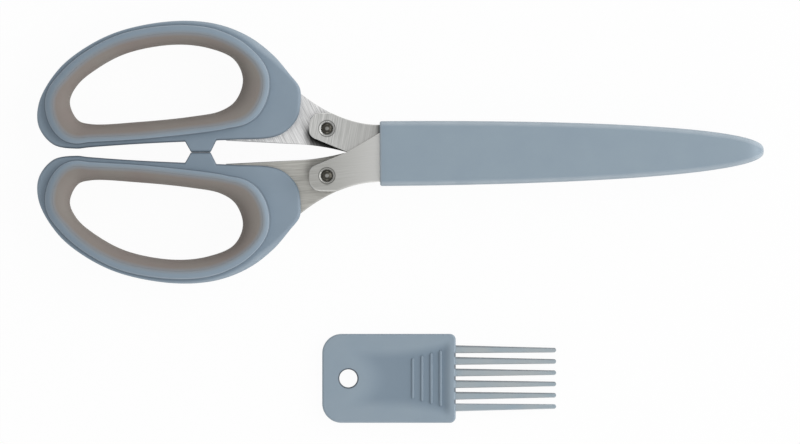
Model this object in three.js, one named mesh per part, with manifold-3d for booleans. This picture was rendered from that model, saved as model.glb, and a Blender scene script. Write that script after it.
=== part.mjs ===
// Herb scissors: two halves of five blades each, a sheath over the blades and a cleaning comb.
// Millimetres, +Z up. The origin is on the sheath's flat underside, straight under the pivot.
// +X points to the blade tips and +Y to the side of the upper handle.
import * as THREE from "three";
import { mergeVertices } from "three/addons/utils/BufferGeometryUtils.js";
import Module from "manifold-3d";

const wasm = await Module();
wasm.setup();

// Clearances
const SEAT_GAP = 0.3; // around a piece that is moulded into another
const RUNNING_GAP = 0.1; // between faces that slide past each other
const BORE_GAP = 0.1; // all round a shank in its bore

// Blades. The middle one of each half is the tang blade that runs into the handle.
const PAIR_COUNT = 5;
const PAIR_PITCH = 3.62; // from one pair to the next, and from one comb tooth to the next
const BLADE_THICKNESS = 1;
const BLADE_REACH = 104; // pivot to tip
const PACK_HALF_WIDTH = 8.4; // centre line to the spine at the pivot
const TIP_HALF_WIDTH = 0.7; // the same at the tip
const EDGE_OVERLAP = 1.4; // the cutting edge past the centre line at its heel
const HEEL_FRONT = 13; // pivot to the start of the cutting edge
const HEEL_SLOPE = 8; // length of the slope from the heel up to the full width
const BEVEL_WIDTH = 2.2; // ground bevel along the cutting edge
const EDGE_LAND = 0.25; // thickness left at the cutting edge
const CROTCH_BACK = 16.1; // pivot to where the two halves cross behind it
const CROSSING_SLOPE = 0.57; // fall of the inner edge from the crotch to the spine
const CROSSING_CORNER = 5;
const NECK_FLARE = 9.4; // how much further out the tang is at the handle than at the sheath
const FLARE_POWER = 1.75;

// Pivot
const PIVOT_RADIUS = 2.5;
const PIVOT_HEAD_RADIUS = 4.4;
const PIVOT_HEAD_HEIGHT = 0.9;
const PIVOT_SLOT_WIDTH = 0.9;
const PIVOT_SLOT_DEPTH = 0.5;
const WASHER_RADIUS = 4.2;

// Tail rivets
const RIVET_BACK = 22.6; // pivot to rivet, along the blades
const RIVET_SIDE = 7.3; // centre line to rivet
const RIVET_RADIUS = 1.9;
const RIVET_HEAD_SPREAD = 0.3; // the peened head past the shank
const RIVET_DOME = 0.35; // the head's rise over the plate
const COUNTERSINK_SPREAD = 0.35; // the countersink past the rivet's bore
const COUNTERSINK_DEPTH = 0.5;
const SPACER_WALL = 1.5;

// Tail plates, measured from the rivet, and the tang
const TAIL_BACK = 5.5;
const TAIL_OUTER = 4.8;
const TAIL_INNER = 3.6;
const TAIL_OUTER_CORNER = 4;
const TAIL_INNER_CORNER = 2.2;
const NECK_GAP = 2.3; // tail plates to the handle's end
const TANG_DEPTH = 23.6; // length of the tang inside the handle
const TANG_END_WIDTH = 3.4;
const TANG_SIDE = 2.5; // centre line to the tang's inner edge
const TANG_BEND = 4.5; // behind the crotch, where that edge turns to it
const TANG_POWER = 1.6; // how fast the tang narrows inside the handle
const PEG_RADIUS = 2; // the handle's peg through the tang
const PEG_DEPTH = 5; // handle's end to the peg
const PEG_SIDE = 10.2; // centre line to the peg

// Handles: a finger hole, a raised ring round it and a thinner flange round the ring
const HANDLE_THICKNESS = 15;
const FLANGE_THICKNESS = 8;
const HOLE_LENGTH = 54;
const HOLE_WIDTH = 24.9;
const HOLE_SIDE = 8.6; // centre line to the hole
const NECK_LENGTH = 18.1; // handle's end to the hole
const RING_BACK = 7; // width of the ring at its four sides
const RING_OUTER = 5.95;
const RING_FRONT = 8.45;
const RING_INNER = 5.6;
const SHOULDER_WIDTH = 3.1; // hard part of the ring, outside the soft grip
const CROWN_POWER = 2.2; // roundness of the ring from the hole up to its crest
const RING_ROUND = 0.8;
const FLANGE_MARGIN = 1; // width of the flange past the ring
const FLANGE_HEEL = 3.2; // added to it at the handle's heel
const HEEL_DIRECTION = [-0.8, -0.6];
const HEEL_POWER = 3;
const FLANGE_ROUND = 1.2;
const BUMPER_BACK = 31.35; // handle's end to the middle of the stop bumper
const BUMPER_BASE = 11;
const BUMPER_FACE = 4.7;
const BUMPER_GAP = 0.3; // between the two bumpers when the scissors are shut

// Finger hole, as shares of its length and width, from its back end over the outer side
const HOLE_OUTLINE = [
  [0, 0.28], [0.045, 0.49], [0.15, 0.69], [0.33, 0.885], [0.6, 1], [0.8, 0.95], [0.94, 0.81],
  [1, 0.55], [0.955, 0.31], [0.86, 0.165], [0.7, 0.095], [0.4, 0.037], [0.15, 0.005], [0.045, 0.07],
];
// Points of that outline which the flange follows, from the inner side over the back to the outer side
const FLANGE_FOLLOWS = [11, 12, 13, 0, 1, 2, 3, 4];
// The flange's front end: distance behind the handle's end, distance from the centre line
const NECK_OUTLINE = [
  [16.7, 36], [9.3, 30.1], [4.3, 24.2], [1.2, 20.2], [0, 16.1],
  [0.8, 10.85], [3.4, 7.4], [6.2, 5.4], [9.9, 4.4], [22, 3.85],
];

// Sheath
const SHEATH_WALL = 1.2;
const SHEATH_TIP_WALL = 2.5;
const SHEATH_SIDE_GAP = 0.6; // blades to the inside
const SHEATH_HEAD_GAP = 0.4; // pivot heads to the inside
const SHEATH_TIP_GAP = 6.2; // blade tips to the inside
const MOUTH_BACK = 6.2; // the mouth's distance behind the pivot
const SHEATH_FILLET = 1.6;
const SHEATH_TAPER = [2.3, 0.4]; // powers of the side's curve
const SHEATH_NOSE = [30, 0.35]; // powers of the top's curve

// Comb, with its own origin at the middle of its back edge
const COMB_PLACE = [-23.9, -70.2];
const COMB_LENGTH = 41.1;
const COMB_WIDTH = 27.6;
const COMB_THICKNESS = 4.2;
const COMB_BACK_CORNER = 5.2;
const COMB_FRONT_CORNER = 1.8;
const COMB_EDGE_ROUND = 0.6;
const COMB_HOLE_RADIUS = 3;
const COMB_HOLE_FRONT = 8; // back edge to the hang hole's middle
const SCOOP_DEPTH = 1.8;
const SCOOP_WIDTH = 22;
const SCOOP_START = 11; // back edge to where the scoop begins
const SCOOP_DEEPEST = 30; // back edge to its lowest point
const SCOOP_END_WALL = 1.8; // plate left in front of the scoop
const SCOOP_HOLLOW = 10; // height of the ellipsoid that the scoop is a cap of
const RIB_COUNT = 4;
const RIB_PITCH = 2.87;
const RIB_WIDTH = 0.85;
const RIB_LENGTH = 17.2; // the front one
const RIB_SHORTER = 1.6; // each one behind it
const RIB_SUNK = 0.6; // rib tops under the comb's face
const RIB_FRONT = 4.7; // front edge to the first rib
const TOOTH_COUNT = PAIR_COUNT + 1;
const TOOTH_LENGTH = 31.2;
const TOOTH_ROOT = 2.2;
const TOOTH_TIP = 1.36;
const TOOTH_THICKNESS = 2.6;
const TOOTH_BURIED = 1.5; // length inside the plate

// Fineness
const ROUND_STEPS = 20;
const BEND_STEPS = 4;
const FLANGE_STEPS = 54;
const GRIP_STEPS = 44;
const GRIP_ARC_STEPS = 4;
const RING_SAMPLES = 480;
const SPINE_STEPS = 12;
const SHEATH_STEPS = 14;
const STEP_CROWDING = 2.2; // how the sheath's steps draw together towards its tip
const ROUND_SHARE = 0.8; // most that a rounding takes of the width it is on
const LEAST_SHARE = 0.002; // keeps the sheath's last section from closing to a point

// Places that follow from the sizes above
const rivetX = -RIVET_BACK;
const neckX = rivetX - TAIL_BACK - NECK_GAP;
const holeBackX = neckX - NECK_LENGTH - HOLE_LENGTH;
const mouthX = -MOUTH_BACK;
const stackHeight = (PAIR_COUNT - 1) * PAIR_PITCH + 2 * BLADE_THICKNESS + RUNNING_GAP;
const headPlane = stackHeight / 2 + RUNNING_GAP / 2;
const sheathHalfHeight = headPlane + PIVOT_HEAD_HEIGHT + SHEATH_HEAD_GAP + SHEATH_WALL;
const bladeDrop = (RUNNING_GAP + BLADE_THICKNESS) / 2; // a blade's middle under its pair's middle

const finish = {
  handle: { color: 0x8796a4, roughness: 0.55, metalness: 0 },
  grip: { color: 0x807b75, roughness: 0.8, metalness: 0 },
  blade: { color: 0xbdbdba, roughness: 0.35, metalness: 1 },
  fastener: { color: 0x8c8b86, roughness: 0.4, metalness: 1 },
  sheath: { color: 0x8f9eab, roughness: 0.5, metalness: 0 },
  comb: { color: 0x8b9aa7, roughness: 0.5, metalness: 0 },
};

function mesh(name, geometry, look) {
  const piece = new THREE.Mesh(geometry, new THREE.MeshStandardMaterial(finish[look]));
  piece.name = name;
  return piece;
}

// Solids that can be cut and joined

// A turned profile that starts on the axis leaves triangles there with two corners in one point.
function withoutSlivers(index) {
  const kept = [];
  for (let i = 0; i < index.length; i += 3) {
    const [a, b, c] = index.slice(i, i + 3);
    if (a !== b && b !== c && c !== a) {
      kept.push(a, b, c);
    }
  }
  return new Uint32Array(kept);
}

function solidOf(geometry) {
  const bare = geometry.clone();
  bare.deleteAttribute("normal");
  bare.deleteAttribute("uv");
  const merged = mergeVertices(bare);
  const vertProperties = new Float32Array(merged.attributes.position.array);
  const triVerts = withoutSlivers(merged.index.array);
  return new wasm.Manifold(new wasm.Mesh({ numProp: 3, vertProperties, triVerts }));
}

function geometryOf(solid) {
  const { vertProperties, triVerts } = solid.getMesh();
  const geometry = new THREE.BufferGeometry();
  geometry.setAttribute("position", new THREE.BufferAttribute(vertProperties, 3));
  geometry.setIndex(new THREE.BufferAttribute(triVerts, 1));
  return geometry;
}

function cut(geometry, ...tools) {
  const left = tools.reduce((body, tool) => body.subtract(solidOf(tool)), solidOf(geometry));
  return geometryOf(left);
}

function join(geometry, ...others) {
  const whole = others.reduce((body, other) => body.add(solidOf(other)), solidOf(geometry));
  return geometryOf(whole);
}

// Outlines and the shapes that are made from them

const flat = ([x, y]) => new THREE.Vector2(x, y);

// A rounded corner of an outline: the round starts and ends at a distance from the corner.
function bend(from, corner, to, distance) {
  const [start, middle, end] = [from, corner, to].map(flat);
  const before = start.clone().sub(middle).setLength(distance).add(middle);
  const after = end.clone().sub(middle).setLength(distance).add(middle);
  return new THREE.QuadraticBezierCurve(before, middle, after).getPoints(BEND_STEPS);
}

// The outline moved outwards by a distance.
function grown(outline, distance) {
  const count = outline.length;
  const turn = THREE.ShapeUtils.isClockWise(outline) ? -1 : 1;
  return outline.map((point, i) => {
    const before = outline[(i + count - 1) % count];
    const after = outline[(i + 1) % count];
    const along = after.clone().sub(before).setLength(turn * distance);
    return new THREE.Vector2(point.x + along.y, point.y - along.x);
  });
}

// A flat plate centred on z = 0, with round holes given as [x, y, radius].
function plate(outline, thickness, holes) {
  const shape = new THREE.Shape(outline);
  shape.holes = holes.map(([x, y, radius]) => new THREE.Path().absarc(x, y, radius, 0, 2 * Math.PI, true));
  const options = { depth: thickness, bevelEnabled: false, curveSegments: ROUND_STEPS / 2 };
  return new THREE.ExtrudeGeometry(shape, options).translate(0, 0, -thickness / 2);
}

// A profile of [radius, height] turned round the Z axis.
function turned(profile) {
  return new THREE.LatheGeometry(profile.map(flat), ROUND_STEPS).rotateX(Math.PI / 2);
}

// A ring with a square section, centred on z = 0.
function tube(outerRadius, innerRadius, height) {
  const half = height / 2;
  const corner = [innerRadius, -half];
  return turned([corner, [outerRadius, -half], [outerRadius, half], [innerRadius, half], corner]);
}

// A closed skin over rings of equally many points. Either the last ring joins the first one,
// or a fan from its middle closes each end ring.
function skin(rings, endless) {
  const count = rings[0].length;
  const points = rings.flat();
  const faces = [];
  const spans = endless ? rings.length : rings.length - 1;
  for (let i = 0; i < spans; i += 1) {
    const here = i * count;
    const next = ((i + 1) % rings.length) * count;
    for (let j = 0; j < count; j += 1) {
      const k = (j + 1) % count;
      faces.push(here + j, next + j, next + k, here + j, next + k, here + k);
    }
  }
  if (!endless) {
    for (const [ring, first, turn] of [[rings[0], 0, 0], [rings.at(-1), (rings.length - 1) * count, 1]]) {
      const middle = ring.reduce((sum, point) => sum.add(point), new THREE.Vector3()).divideScalar(count);
      points.push(middle);
      for (let j = 0; j < count; j += 1) {
        const pair = [first + j, first + ((j + 1) % count)];
        faces.push(points.length - 1, pair[turn], pair[1 - turn]);
      }
    }
  }
  const geometry = new THREE.BufferGeometry().setFromPoints(points);
  geometry.setIndex(enclosedVolume(points, faces) > 0 ? faces : faces.toReversed());
  return geometry;
}

function enclosedVolume(points, faces) {
  let volume = 0;
  for (let i = 0; i < faces.length; i += 3) {
    const [a, b, c] = [points[faces[i]], points[faces[i + 1]], points[faces[i + 2]]];
    volume += a.dot(new THREE.Vector3().crossVectors(b, c)) / 6;
  }
  return volume;
}

// Blades, drawn for the upper half, whose cutting edge is on the +Y side in front of the pivot

const spineY = (x) => -TIP_HALF_WIDTH - (PACK_HALF_WIDTH - TIP_HALF_WIDTH) * (1 - (x / BLADE_REACH) ** 2);
const edgeY = (x) => (EDGE_OVERLAP * (BLADE_REACH - x)) / (BLADE_REACH - HEEL_FRONT);
const outerY = (x) => PACK_HALF_WIDTH + NECK_FLARE * ((mouthX - x) / (mouthX - neckX)) ** FLARE_POWER;

const crotch = [-CROTCH_BACK, 0];

// From the crotch along the spine to the tip, and back along the cutting edge to the full width.
function frontOutline() {
  const spineStart = PIVOT_RADIUS + CROSSING_CORNER;
  const corner = [PACK_HALF_WIDTH / CROSSING_SLOPE - CROTCH_BACK, -PACK_HALF_WIDTH];
  const crossing = bend(crotch, corner, [spineStart, spineY(spineStart)], CROSSING_CORNER);
  const tipStart = BLADE_REACH - 2 * TIP_HALF_WIDTH;
  const spine = Array.from({ length: SPINE_STEPS + 1 }, (_, i) => {
    const x = spineStart + ((tipStart - spineStart) * i) / SPINE_STEPS;
    return flat([x, spineY(x)]);
  });
  const edge = [
    [BLADE_REACH, -TIP_HALF_WIDTH / 2],
    [tipStart, edgeY(tipStart)],
    [HEEL_FRONT, EDGE_OVERLAP],
    [HEEL_FRONT - HEEL_SLOPE, PACK_HALF_WIDTH],
  ];
  return [flat(crotch), ...crossing, ...spine, ...edge.map(flat)];
}

// From the sheath's mouth along the outer edge to a given place behind it.
function outerOutline(endX, steps) {
  return Array.from({ length: steps + 1 }, (_, i) => {
    const x = mouthX + ((endX - mouthX) * i) / steps;
    return flat([x, outerY(x)]);
  });
}

function plainBladeOutline() {
  const backX = rivetX - TAIL_BACK;
  const outer = RIVET_SIDE + TAIL_OUTER;
  const inner = RIVET_SIDE - TAIL_INNER;
  const flareShare = ((outer - PACK_HALF_WIDTH) / NECK_FLARE) ** (1 / FLARE_POWER);
  const meetX = mouthX + (neckX - mouthX) * flareShare;
  const tail = [
    ...bend([meetX, outer], [backX, outer], [backX, inner], TAIL_OUTER_CORNER),
    ...bend([backX, outer], [backX, inner], crotch, TAIL_INNER_CORNER),
  ];
  return [...frontOutline(), ...outerOutline(meetX, BEND_STEPS), ...tail];
}

function tangBladeOutline() {
  const endX = neckX - TANG_DEPTH;
  const endY = TANG_SIDE + TANG_END_WIDTH;
  const inside = Array.from({ length: BEND_STEPS + 1 }, (_, i) => {
    const left = 1 - i / BEND_STEPS;
    return flat([endX + left * TANG_DEPTH, endY + (outerY(neckX) - endY) * left ** TANG_POWER]);
  });
  const end = [endX, TANG_SIDE];
  const turn = bend(end, [-CROTCH_BACK - TANG_BEND, TANG_SIDE], crotch, TANG_BEND);
  const outside = outerOutline(neckX, 2 * BEND_STEPS).slice(0, -1);
  return [...frontOutline(), ...outside, ...inside, flat(end), ...turn];
}

// The wedge that is ground off the underside along the cutting edge.
function bevelWedge() {
  const past = 1;
  const rise = (BLADE_THICKNESS - EDGE_LAND) / BEVEL_WIDTH;
  const bottom = -BLADE_THICKNESS / 2;
  const section = [
    [past, bottom - past],
    [past, bottom + rise * (BEVEL_WIDTH + past)],
    [-BEVEL_WIDTH - past / rise, bottom - past],
  ];
  const length = BLADE_REACH - HEEL_FRONT + 2 * past;
  const shape = new THREE.Shape(section.map(flat));
  const wedge = new THREE.ExtrudeGeometry(shape, { depth: length, bevelEnabled: false });
  wedge.applyMatrix4(new THREE.Matrix4().set(0, 0, 1, 0, 1, 0, 0, 0, 0, 1, 0, 0, 0, 0, 0, 1));
  const fall = Math.atan2(EDGE_OVERLAP, BLADE_REACH - HEEL_FRONT);
  return wedge.rotateZ(-fall).translate(HEEL_FRONT, EDGE_OVERLAP, 0);
}

const rivetBore = RIVET_RADIUS + BORE_GAP;
const pivotHole = [0, 0, PIVOT_RADIUS + BORE_GAP];
const rivetHole = [rivetX, RIVET_SIDE, rivetBore];

// The cone that is cut into an outer plate for the rivet's head, wide end up.
function countersink() {
  const top = BLADE_THICKNESS / 2;
  const wide = rivetBore + COUNTERSINK_SPREAD;
  const floor = top - COUNTERSINK_DEPTH;
  const cone = turned([[0, floor], [rivetBore, floor], [wide, top], [wide, 2 * top], [0, 2 * top]]);
  return cone.translate(rivetX, RIVET_SIDE, 0);
}

function bladeGeometry(level) {
  const last = (PAIR_COUNT - 1) / 2;
  if (level === 0) {
    const pegHole = [neckX - PEG_DEPTH, PEG_SIDE, PEG_RADIUS + SEAT_GAP];
    return cut(plate(tangBladeOutline(), BLADE_THICKNESS, [pivotHole, rivetHole, pegHole]), bevelWedge());
  }
  const blade = cut(plate(plainBladeOutline(), BLADE_THICKNESS, [pivotHole, rivetHole]), bevelWedge());
  if (Math.abs(level) < last) {
    return blade;
  }
  const sink = countersink();
  return cut(blade, level > 0 ? sink : sink.rotateX(Math.PI).translate(0, 2 * RIVET_SIDE, 0));
}

// A rivet with a peened, domed head at each end, and the spacers on it

function rivetGeometry() {
  const face = ((PAIR_COUNT - 1) * PAIR_PITCH + BLADE_THICKNESS) / 2;
  const head = RIVET_RADIUS + RIVET_HEAD_SPREAD;
  const foot = face - BORE_GAP;
  const upper = [[RIVET_RADIUS, face - COUNTERSINK_DEPTH], [head, foot]];
  for (let i = 1; i <= BEND_STEPS; i += 1) {
    const angle = (i / BEND_STEPS) * (Math.PI / 2);
    const radius = i < BEND_STEPS ? head * Math.cos(angle) : 0;
    upper.push([radius, foot + (face + RIVET_DOME - foot) * Math.sin(angle)]);
  }
  const lower = upper.map(([radius, height]) => [radius, -height]).reverse();
  return turned([...lower, ...upper]).translate(rivetX, RIVET_SIDE, 0);
}

function spacerGeometry() {
  const height = PAIR_PITCH - BLADE_THICKNESS;
  return tube(rivetBore + SPACER_WALL, rivetBore, height).translate(rivetX, RIVET_SIDE, 0);
}

// Finger loop

const holePoint = ([u, v]) => new THREE.Vector3(holeBackX + u * HOLE_LENGTH, HOLE_SIDE + v * HOLE_WIDTH, 0);
const holeCurve = new THREE.CatmullRomCurve3(HOLE_OUTLINE.map(holePoint), true);

// A value that changes round the loop with the outward direction.
function aroundLoop(out, back, outer, front, inner) {
  return (out.x < 0 ? back : front) * out.x ** 2 + (out.y > 0 ? outer : inner) * out.y ** 2;
}

// A place on the hole's edge, the direction out of the hole there and the ring's width.
function loopAt(t) {
  const edge = holeCurve.getPoint(t);
  const along = holeCurve.getTangent(t);
  const out = new THREE.Vector3(-along.y, along.x, 0);
  return { edge, out, width: aroundLoop(out, RING_BACK, RING_OUTER, RING_FRONT, RING_INNER) };
}

// The ring's height over the middle plane at a distance from the hole.
function crown(distance, width) {
  const share = 1 - distance / width;
  return (HANDLE_THICKNESS / 2) * (1 - share ** CROWN_POWER) ** (1 / CROWN_POWER);
}

// The flange's outline, with the stop bumper on its inner side.
function flangeOutline() {
  const heel = new THREE.Vector3(...HEEL_DIRECTION, 0);
  const loop = FLANGE_FOLLOWS.map((i) => {
    const { edge, out, width } = loopAt(i / HOLE_OUTLINE.length);
    const margin = FLANGE_MARGIN + FLANGE_HEEL * Math.max(out.dot(heel), 0) ** HEEL_POWER;
    return edge.addScaledVector(out, width + margin);
  });
  const neck = NECK_OUTLINE.map(([behind, side]) => new THREE.Vector3(neckX - behind, side, 0));
  const rim = new THREE.CatmullRomCurve3([...loop, ...neck], true).getSpacedPoints(FLANGE_STEPS).slice(1);
  const middle = neckX - BUMPER_BACK;
  const onBumper = ({ x, y }) => y < HOLE_SIDE && Math.abs(x - middle) < BUMPER_BASE / 2;
  const first = rim.findIndex(onBumper);
  const last = rim.findLastIndex(onBumper);
  const bumper = [
    [BUMPER_BASE / 2, rim[first].y],
    [BUMPER_FACE / 2, BUMPER_GAP / 2],
    [-BUMPER_FACE / 2, BUMPER_GAP / 2],
    [-BUMPER_BASE / 2, rim[last].y],
  ];
  const corners = bumper.map(([x, y]) => new THREE.Vector3(middle + x, y, 0));
  return [...rim.slice(0, first), ...corners, ...rim.slice(last + 1)];
}

// Half of the handle's section at a place of the loop, from the grip's seat over the crest to the rim.
function handleHalfSection({ edge, out, width }, rim) {
  const crest = HANDLE_THICKNESS / 2;
  const flange = FLANGE_THICKNESS / 2;
  const ringFoot = edge.clone().addScaledVector(out, width);
  const inward = ringFoot.clone().sub(rim);
  const round = Math.min(FLANGE_ROUND, ROUND_SHARE * inward.length());
  inward.setLength(round);
  const onRing = (distance, height) => edge.clone().addScaledVector(out, distance).setZ(height);
  const seat = width - SHOULDER_WIDTH;
  const shoulder = width - SHOULDER_WIDTH / 2;
  return [
    onRing(seat, crown(seat, width)),
    onRing(shoulder, crown(shoulder, width)),
    onRing(width - RING_ROUND, crest),
    onRing(width, crest - RING_ROUND),
    onRing(width, flange),
    rim.clone().add(inward).setZ(flange),
    rim.clone().setZ(flange - round),
  ];
}

// A closed section from its upper half: the lower half is its mirror image.
function bothHalves(upper) {
  const lower = upper.map((point) => point.clone().setZ(-point.z));
  return [...upper, ...lower.reverse()];
}

function handleGeometry() {
  const places = Array.from({ length: RING_SAMPLES }, (_, i) => loopAt(i / RING_SAMPLES));
  const feet = places.map(({ edge, out, width }) => edge.clone().addScaledVector(out, width));
  const sections = flangeOutline().map((rim) => {
    const distances = feet.map((foot) => foot.distanceToSquared(rim));
    const nearest = distances.indexOf(Math.min(...distances));
    return bothHalves(handleHalfSection(places[nearest], rim));
  });
  const peg = [neckX - PEG_DEPTH, PEG_SIDE, PEG_RADIUS];
  const pocket = plate(grown(tangBladeOutline(), SEAT_GAP), BLADE_THICKNESS + 2 * SEAT_GAP, [peg]);
  return cut(skin(sections, true), pocket.translate(0, 0, -bladeDrop));
}

// The soft liner: from the hole's edge up to the hard shoulder.
function gripGeometry() {
  const sections = Array.from({ length: GRIP_STEPS }, (_, i) => {
    const { edge, out, width } = loopAt(i / GRIP_STEPS);
    const band = width - SHOULDER_WIDTH - SEAT_GAP;
    const upper = Array.from({ length: GRIP_ARC_STEPS }, (_unused, j) => {
      const angle = ((j + 0.5) / (GRIP_ARC_STEPS - 0.5)) * (Math.PI / 2);
      const distance = band * (1 - Math.cos(angle));
      return edge.clone().addScaledVector(out, distance).setZ(crown(distance, width));
    });
    return bothHalves(upper);
  });
  return skin(sections, true);
}

// One half of the scissors, in a group whose z = 0 is the middle of the blade pack

function half(side) {
  const group = new THREE.Group();
  group.add(mesh(`handle_${side}`, handleGeometry(), "handle"));
  group.add(mesh(`grip_${side}`, gripGeometry(), "grip"));
  for (let i = 0; i < PAIR_COUNT; i += 1) {
    const level = i - (PAIR_COUNT - 1) / 2;
    const blade = mesh(`blade_${side}_${i + 1}`, bladeGeometry(level), "blade");
    blade.position.z = level * PAIR_PITCH - bladeDrop;
    group.add(blade);
  }
  for (let i = 0; i < PAIR_COUNT - 1; i += 1) {
    const spacer = mesh(`spacer_${side}_${i + 1}`, spacerGeometry(), "fastener");
    spacer.position.z = (i + 1 - (PAIR_COUNT - 1) / 2 - 0.5) * PAIR_PITCH - bladeDrop;
    group.add(spacer);
  }
  const rivet = mesh(`rivet_${side}`, rivetGeometry(), "fastener");
  rivet.position.z = -bladeDrop;
  group.add(rivet);
  return group;
}

// Pivot screw, nut and washers, in the same group

function pivotScrewGeometry() {
  const top = headPlane + PIVOT_HEAD_HEIGHT;
  const edge = PIVOT_HEAD_HEIGHT / 3;
  const body = turned([
    [0, -top], [PIVOT_RADIUS, -top], [PIVOT_RADIUS, headPlane], [PIVOT_HEAD_RADIUS, headPlane],
    [PIVOT_HEAD_RADIUS, top - edge], [PIVOT_HEAD_RADIUS - edge, top], [0, top],
  ]);
  const slot = new THREE.BoxGeometry(3 * PIVOT_HEAD_RADIUS, PIVOT_SLOT_WIDTH, 2 * PIVOT_SLOT_DEPTH);
  return cut(body, slot.rotateZ(Math.PI / 4).translate(0, 0, top));
}

function pivot() {
  const group = new THREE.Group();
  group.add(mesh("pivot_screw", pivotScrewGeometry(), "fastener"));
  const bore = PIVOT_RADIUS + BORE_GAP;
  const nut = mesh("pivot_nut", tube(PIVOT_HEAD_RADIUS, bore, PIVOT_HEAD_HEIGHT), "fastener");
  nut.position.z = -headPlane - PIVOT_HEAD_HEIGHT / 2;
  group.add(nut);
  const washerHeight = PAIR_PITCH - 2 * BLADE_THICKNESS - 2 * RUNNING_GAP;
  for (let i = 0; i < PAIR_COUNT - 1; i += 1) {
    const washer = mesh(`pivot_washer_${i + 1}`, tube(WASHER_RADIUS, bore, washerHeight), "fastener");
    washer.position.z = (i + 1 - PAIR_COUNT / 2) * PAIR_PITCH;
    group.add(washer);
  }
  return group;
}

// Sheath, whose section is a rounded rectangle that narrows to the tip

function roundedSection(x, halfWidth, halfHeight, fillet) {
  const round = Math.min(fillet, ROUND_SHARE * halfWidth, ROUND_SHARE * halfHeight);
  const points = [];
  for (let corner = 0; corner < 4; corner += 1) {
    const signY = corner === 0 || corner === 3 ? 1 : -1;
    const signZ = corner < 2 ? 1 : -1;
    for (let i = 0; i < BEND_STEPS; i += 1) {
      const angle = (-corner + 1 - i / (BEND_STEPS - 1)) * (Math.PI / 2);
      const y = signY * (halfWidth - round) + round * Math.sin(angle);
      const z = signZ * (halfHeight - round) + round * Math.cos(angle);
      points.push(new THREE.Vector3(x, y, z));
    }
  }
  return points;
}

// A tapered bar from the mouth to a nose, with an optional straight run before the mouth.
function taperedBar(length, halfWidth, halfHeight, fillet, before) {
  const taper = (share, [power, roundness]) => Math.max(1 - share ** power, LEAST_SHARE) ** roundness;
  const rings = Array.from({ length: SHEATH_STEPS + 1 }, (_, i) => {
    const share = 1 - (1 - i / SHEATH_STEPS) ** STEP_CROWDING;
    const width = halfWidth * taper(share, SHEATH_TAPER);
    const height = halfHeight * taper(share, SHEATH_NOSE);
    return roundedSection(mouthX + share * length, width, height, fillet);
  });
  if (before > 0) {
    rings.unshift(roundedSection(mouthX - before, halfWidth, halfHeight, fillet));
  }
  return skin(rings, false);
}

function sheathGeometry() {
  const innerLength = MOUTH_BACK + BLADE_REACH + SHEATH_TIP_GAP;
  const innerWidth = PACK_HALF_WIDTH + SHEATH_SIDE_GAP;
  const innerHeight = sheathHalfHeight - SHEATH_WALL;
  const outerWidth = innerWidth + SHEATH_WALL;
  const outer = taperedBar(innerLength + SHEATH_TIP_WALL, outerWidth, sheathHalfHeight, SHEATH_FILLET, 0);
  const inner = taperedBar(innerLength, innerWidth, innerHeight, SHEATH_FILLET / 2, SHEATH_WALL);
  return cut(outer, inner);
}

// Cleaning comb, lying on the table

function combPlate() {
  const halfWidth = COMB_WIDTH / 2;
  const [back, front] = [COMB_BACK_CORNER, COMB_FRONT_CORNER];
  const quarter = Math.PI / 2;
  const shape = new THREE.Shape();
  shape.absarc(COMB_LENGTH - front, front - halfWidth, front, -quarter, 0);
  shape.absarc(COMB_LENGTH - front, halfWidth - front, front, 0, quarter);
  shape.absarc(back, halfWidth - back, back, quarter, 2 * quarter);
  shape.absarc(back, back - halfWidth, back, 2 * quarter, 3 * quarter);
  shape.holes = [new THREE.Path().absarc(COMB_HOLE_FRONT, 0, COMB_HOLE_RADIUS, 0, 4 * quarter, true)];
  const body = new THREE.ExtrudeGeometry(shape, {
    depth: COMB_THICKNESS - 2 * COMB_EDGE_ROUND,
    bevelThickness: COMB_EDGE_ROUND,
    bevelSize: COMB_EDGE_ROUND,
    bevelOffset: -COMB_EDGE_ROUND,
    bevelSegments: 2,
    curveSegments: Math.ceil(ROUND_STEPS / 3),
  });
  return body.translate(0, 0, COMB_EDGE_ROUND);
}

// A shallow cap of an ellipsoid, cut off square by the wall in front of it.
function scoop() {
  const capShare = Math.sqrt(1 - (1 - SCOOP_DEPTH / SCOOP_HOLLOW) ** 2);
  const length = (SCOOP_DEEPEST - SCOOP_START) / capShare;
  const width = SCOOP_WIDTH / 2 / capShare;
  const middleZ = COMB_THICKNESS + SCOOP_HOLLOW - SCOOP_DEPTH;
  const hollow = new THREE.SphereGeometry(1, 2 * ROUND_STEPS, ROUND_STEPS).rotateX(Math.PI / 2);
  hollow.scale(length, width, SCOOP_HOLLOW).translate(SCOOP_DEEPEST, 0, middleZ);
  const reach = 2 * length;
  const wall = new THREE.BoxGeometry(reach, reach, reach);
  wall.translate(COMB_LENGTH - SCOOP_END_WALL + reach / 2, 0, 0);
  return cut(hollow, wall);
}

function ribs() {
  const top = COMB_THICKNESS - RIB_SUNK;
  const bottom = COMB_THICKNESS - SCOOP_DEPTH - RIB_SUNK;
  return Array.from({ length: RIB_COUNT }, (_, i) => {
    const x = COMB_LENGTH - RIB_FRONT - i * RIB_PITCH;
    const bar = new THREE.BoxGeometry(RIB_WIDTH, RIB_LENGTH - i * RIB_SHORTER, top - bottom);
    return bar.translate(x, 0, (top + bottom) / 2);
  });
}

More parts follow.
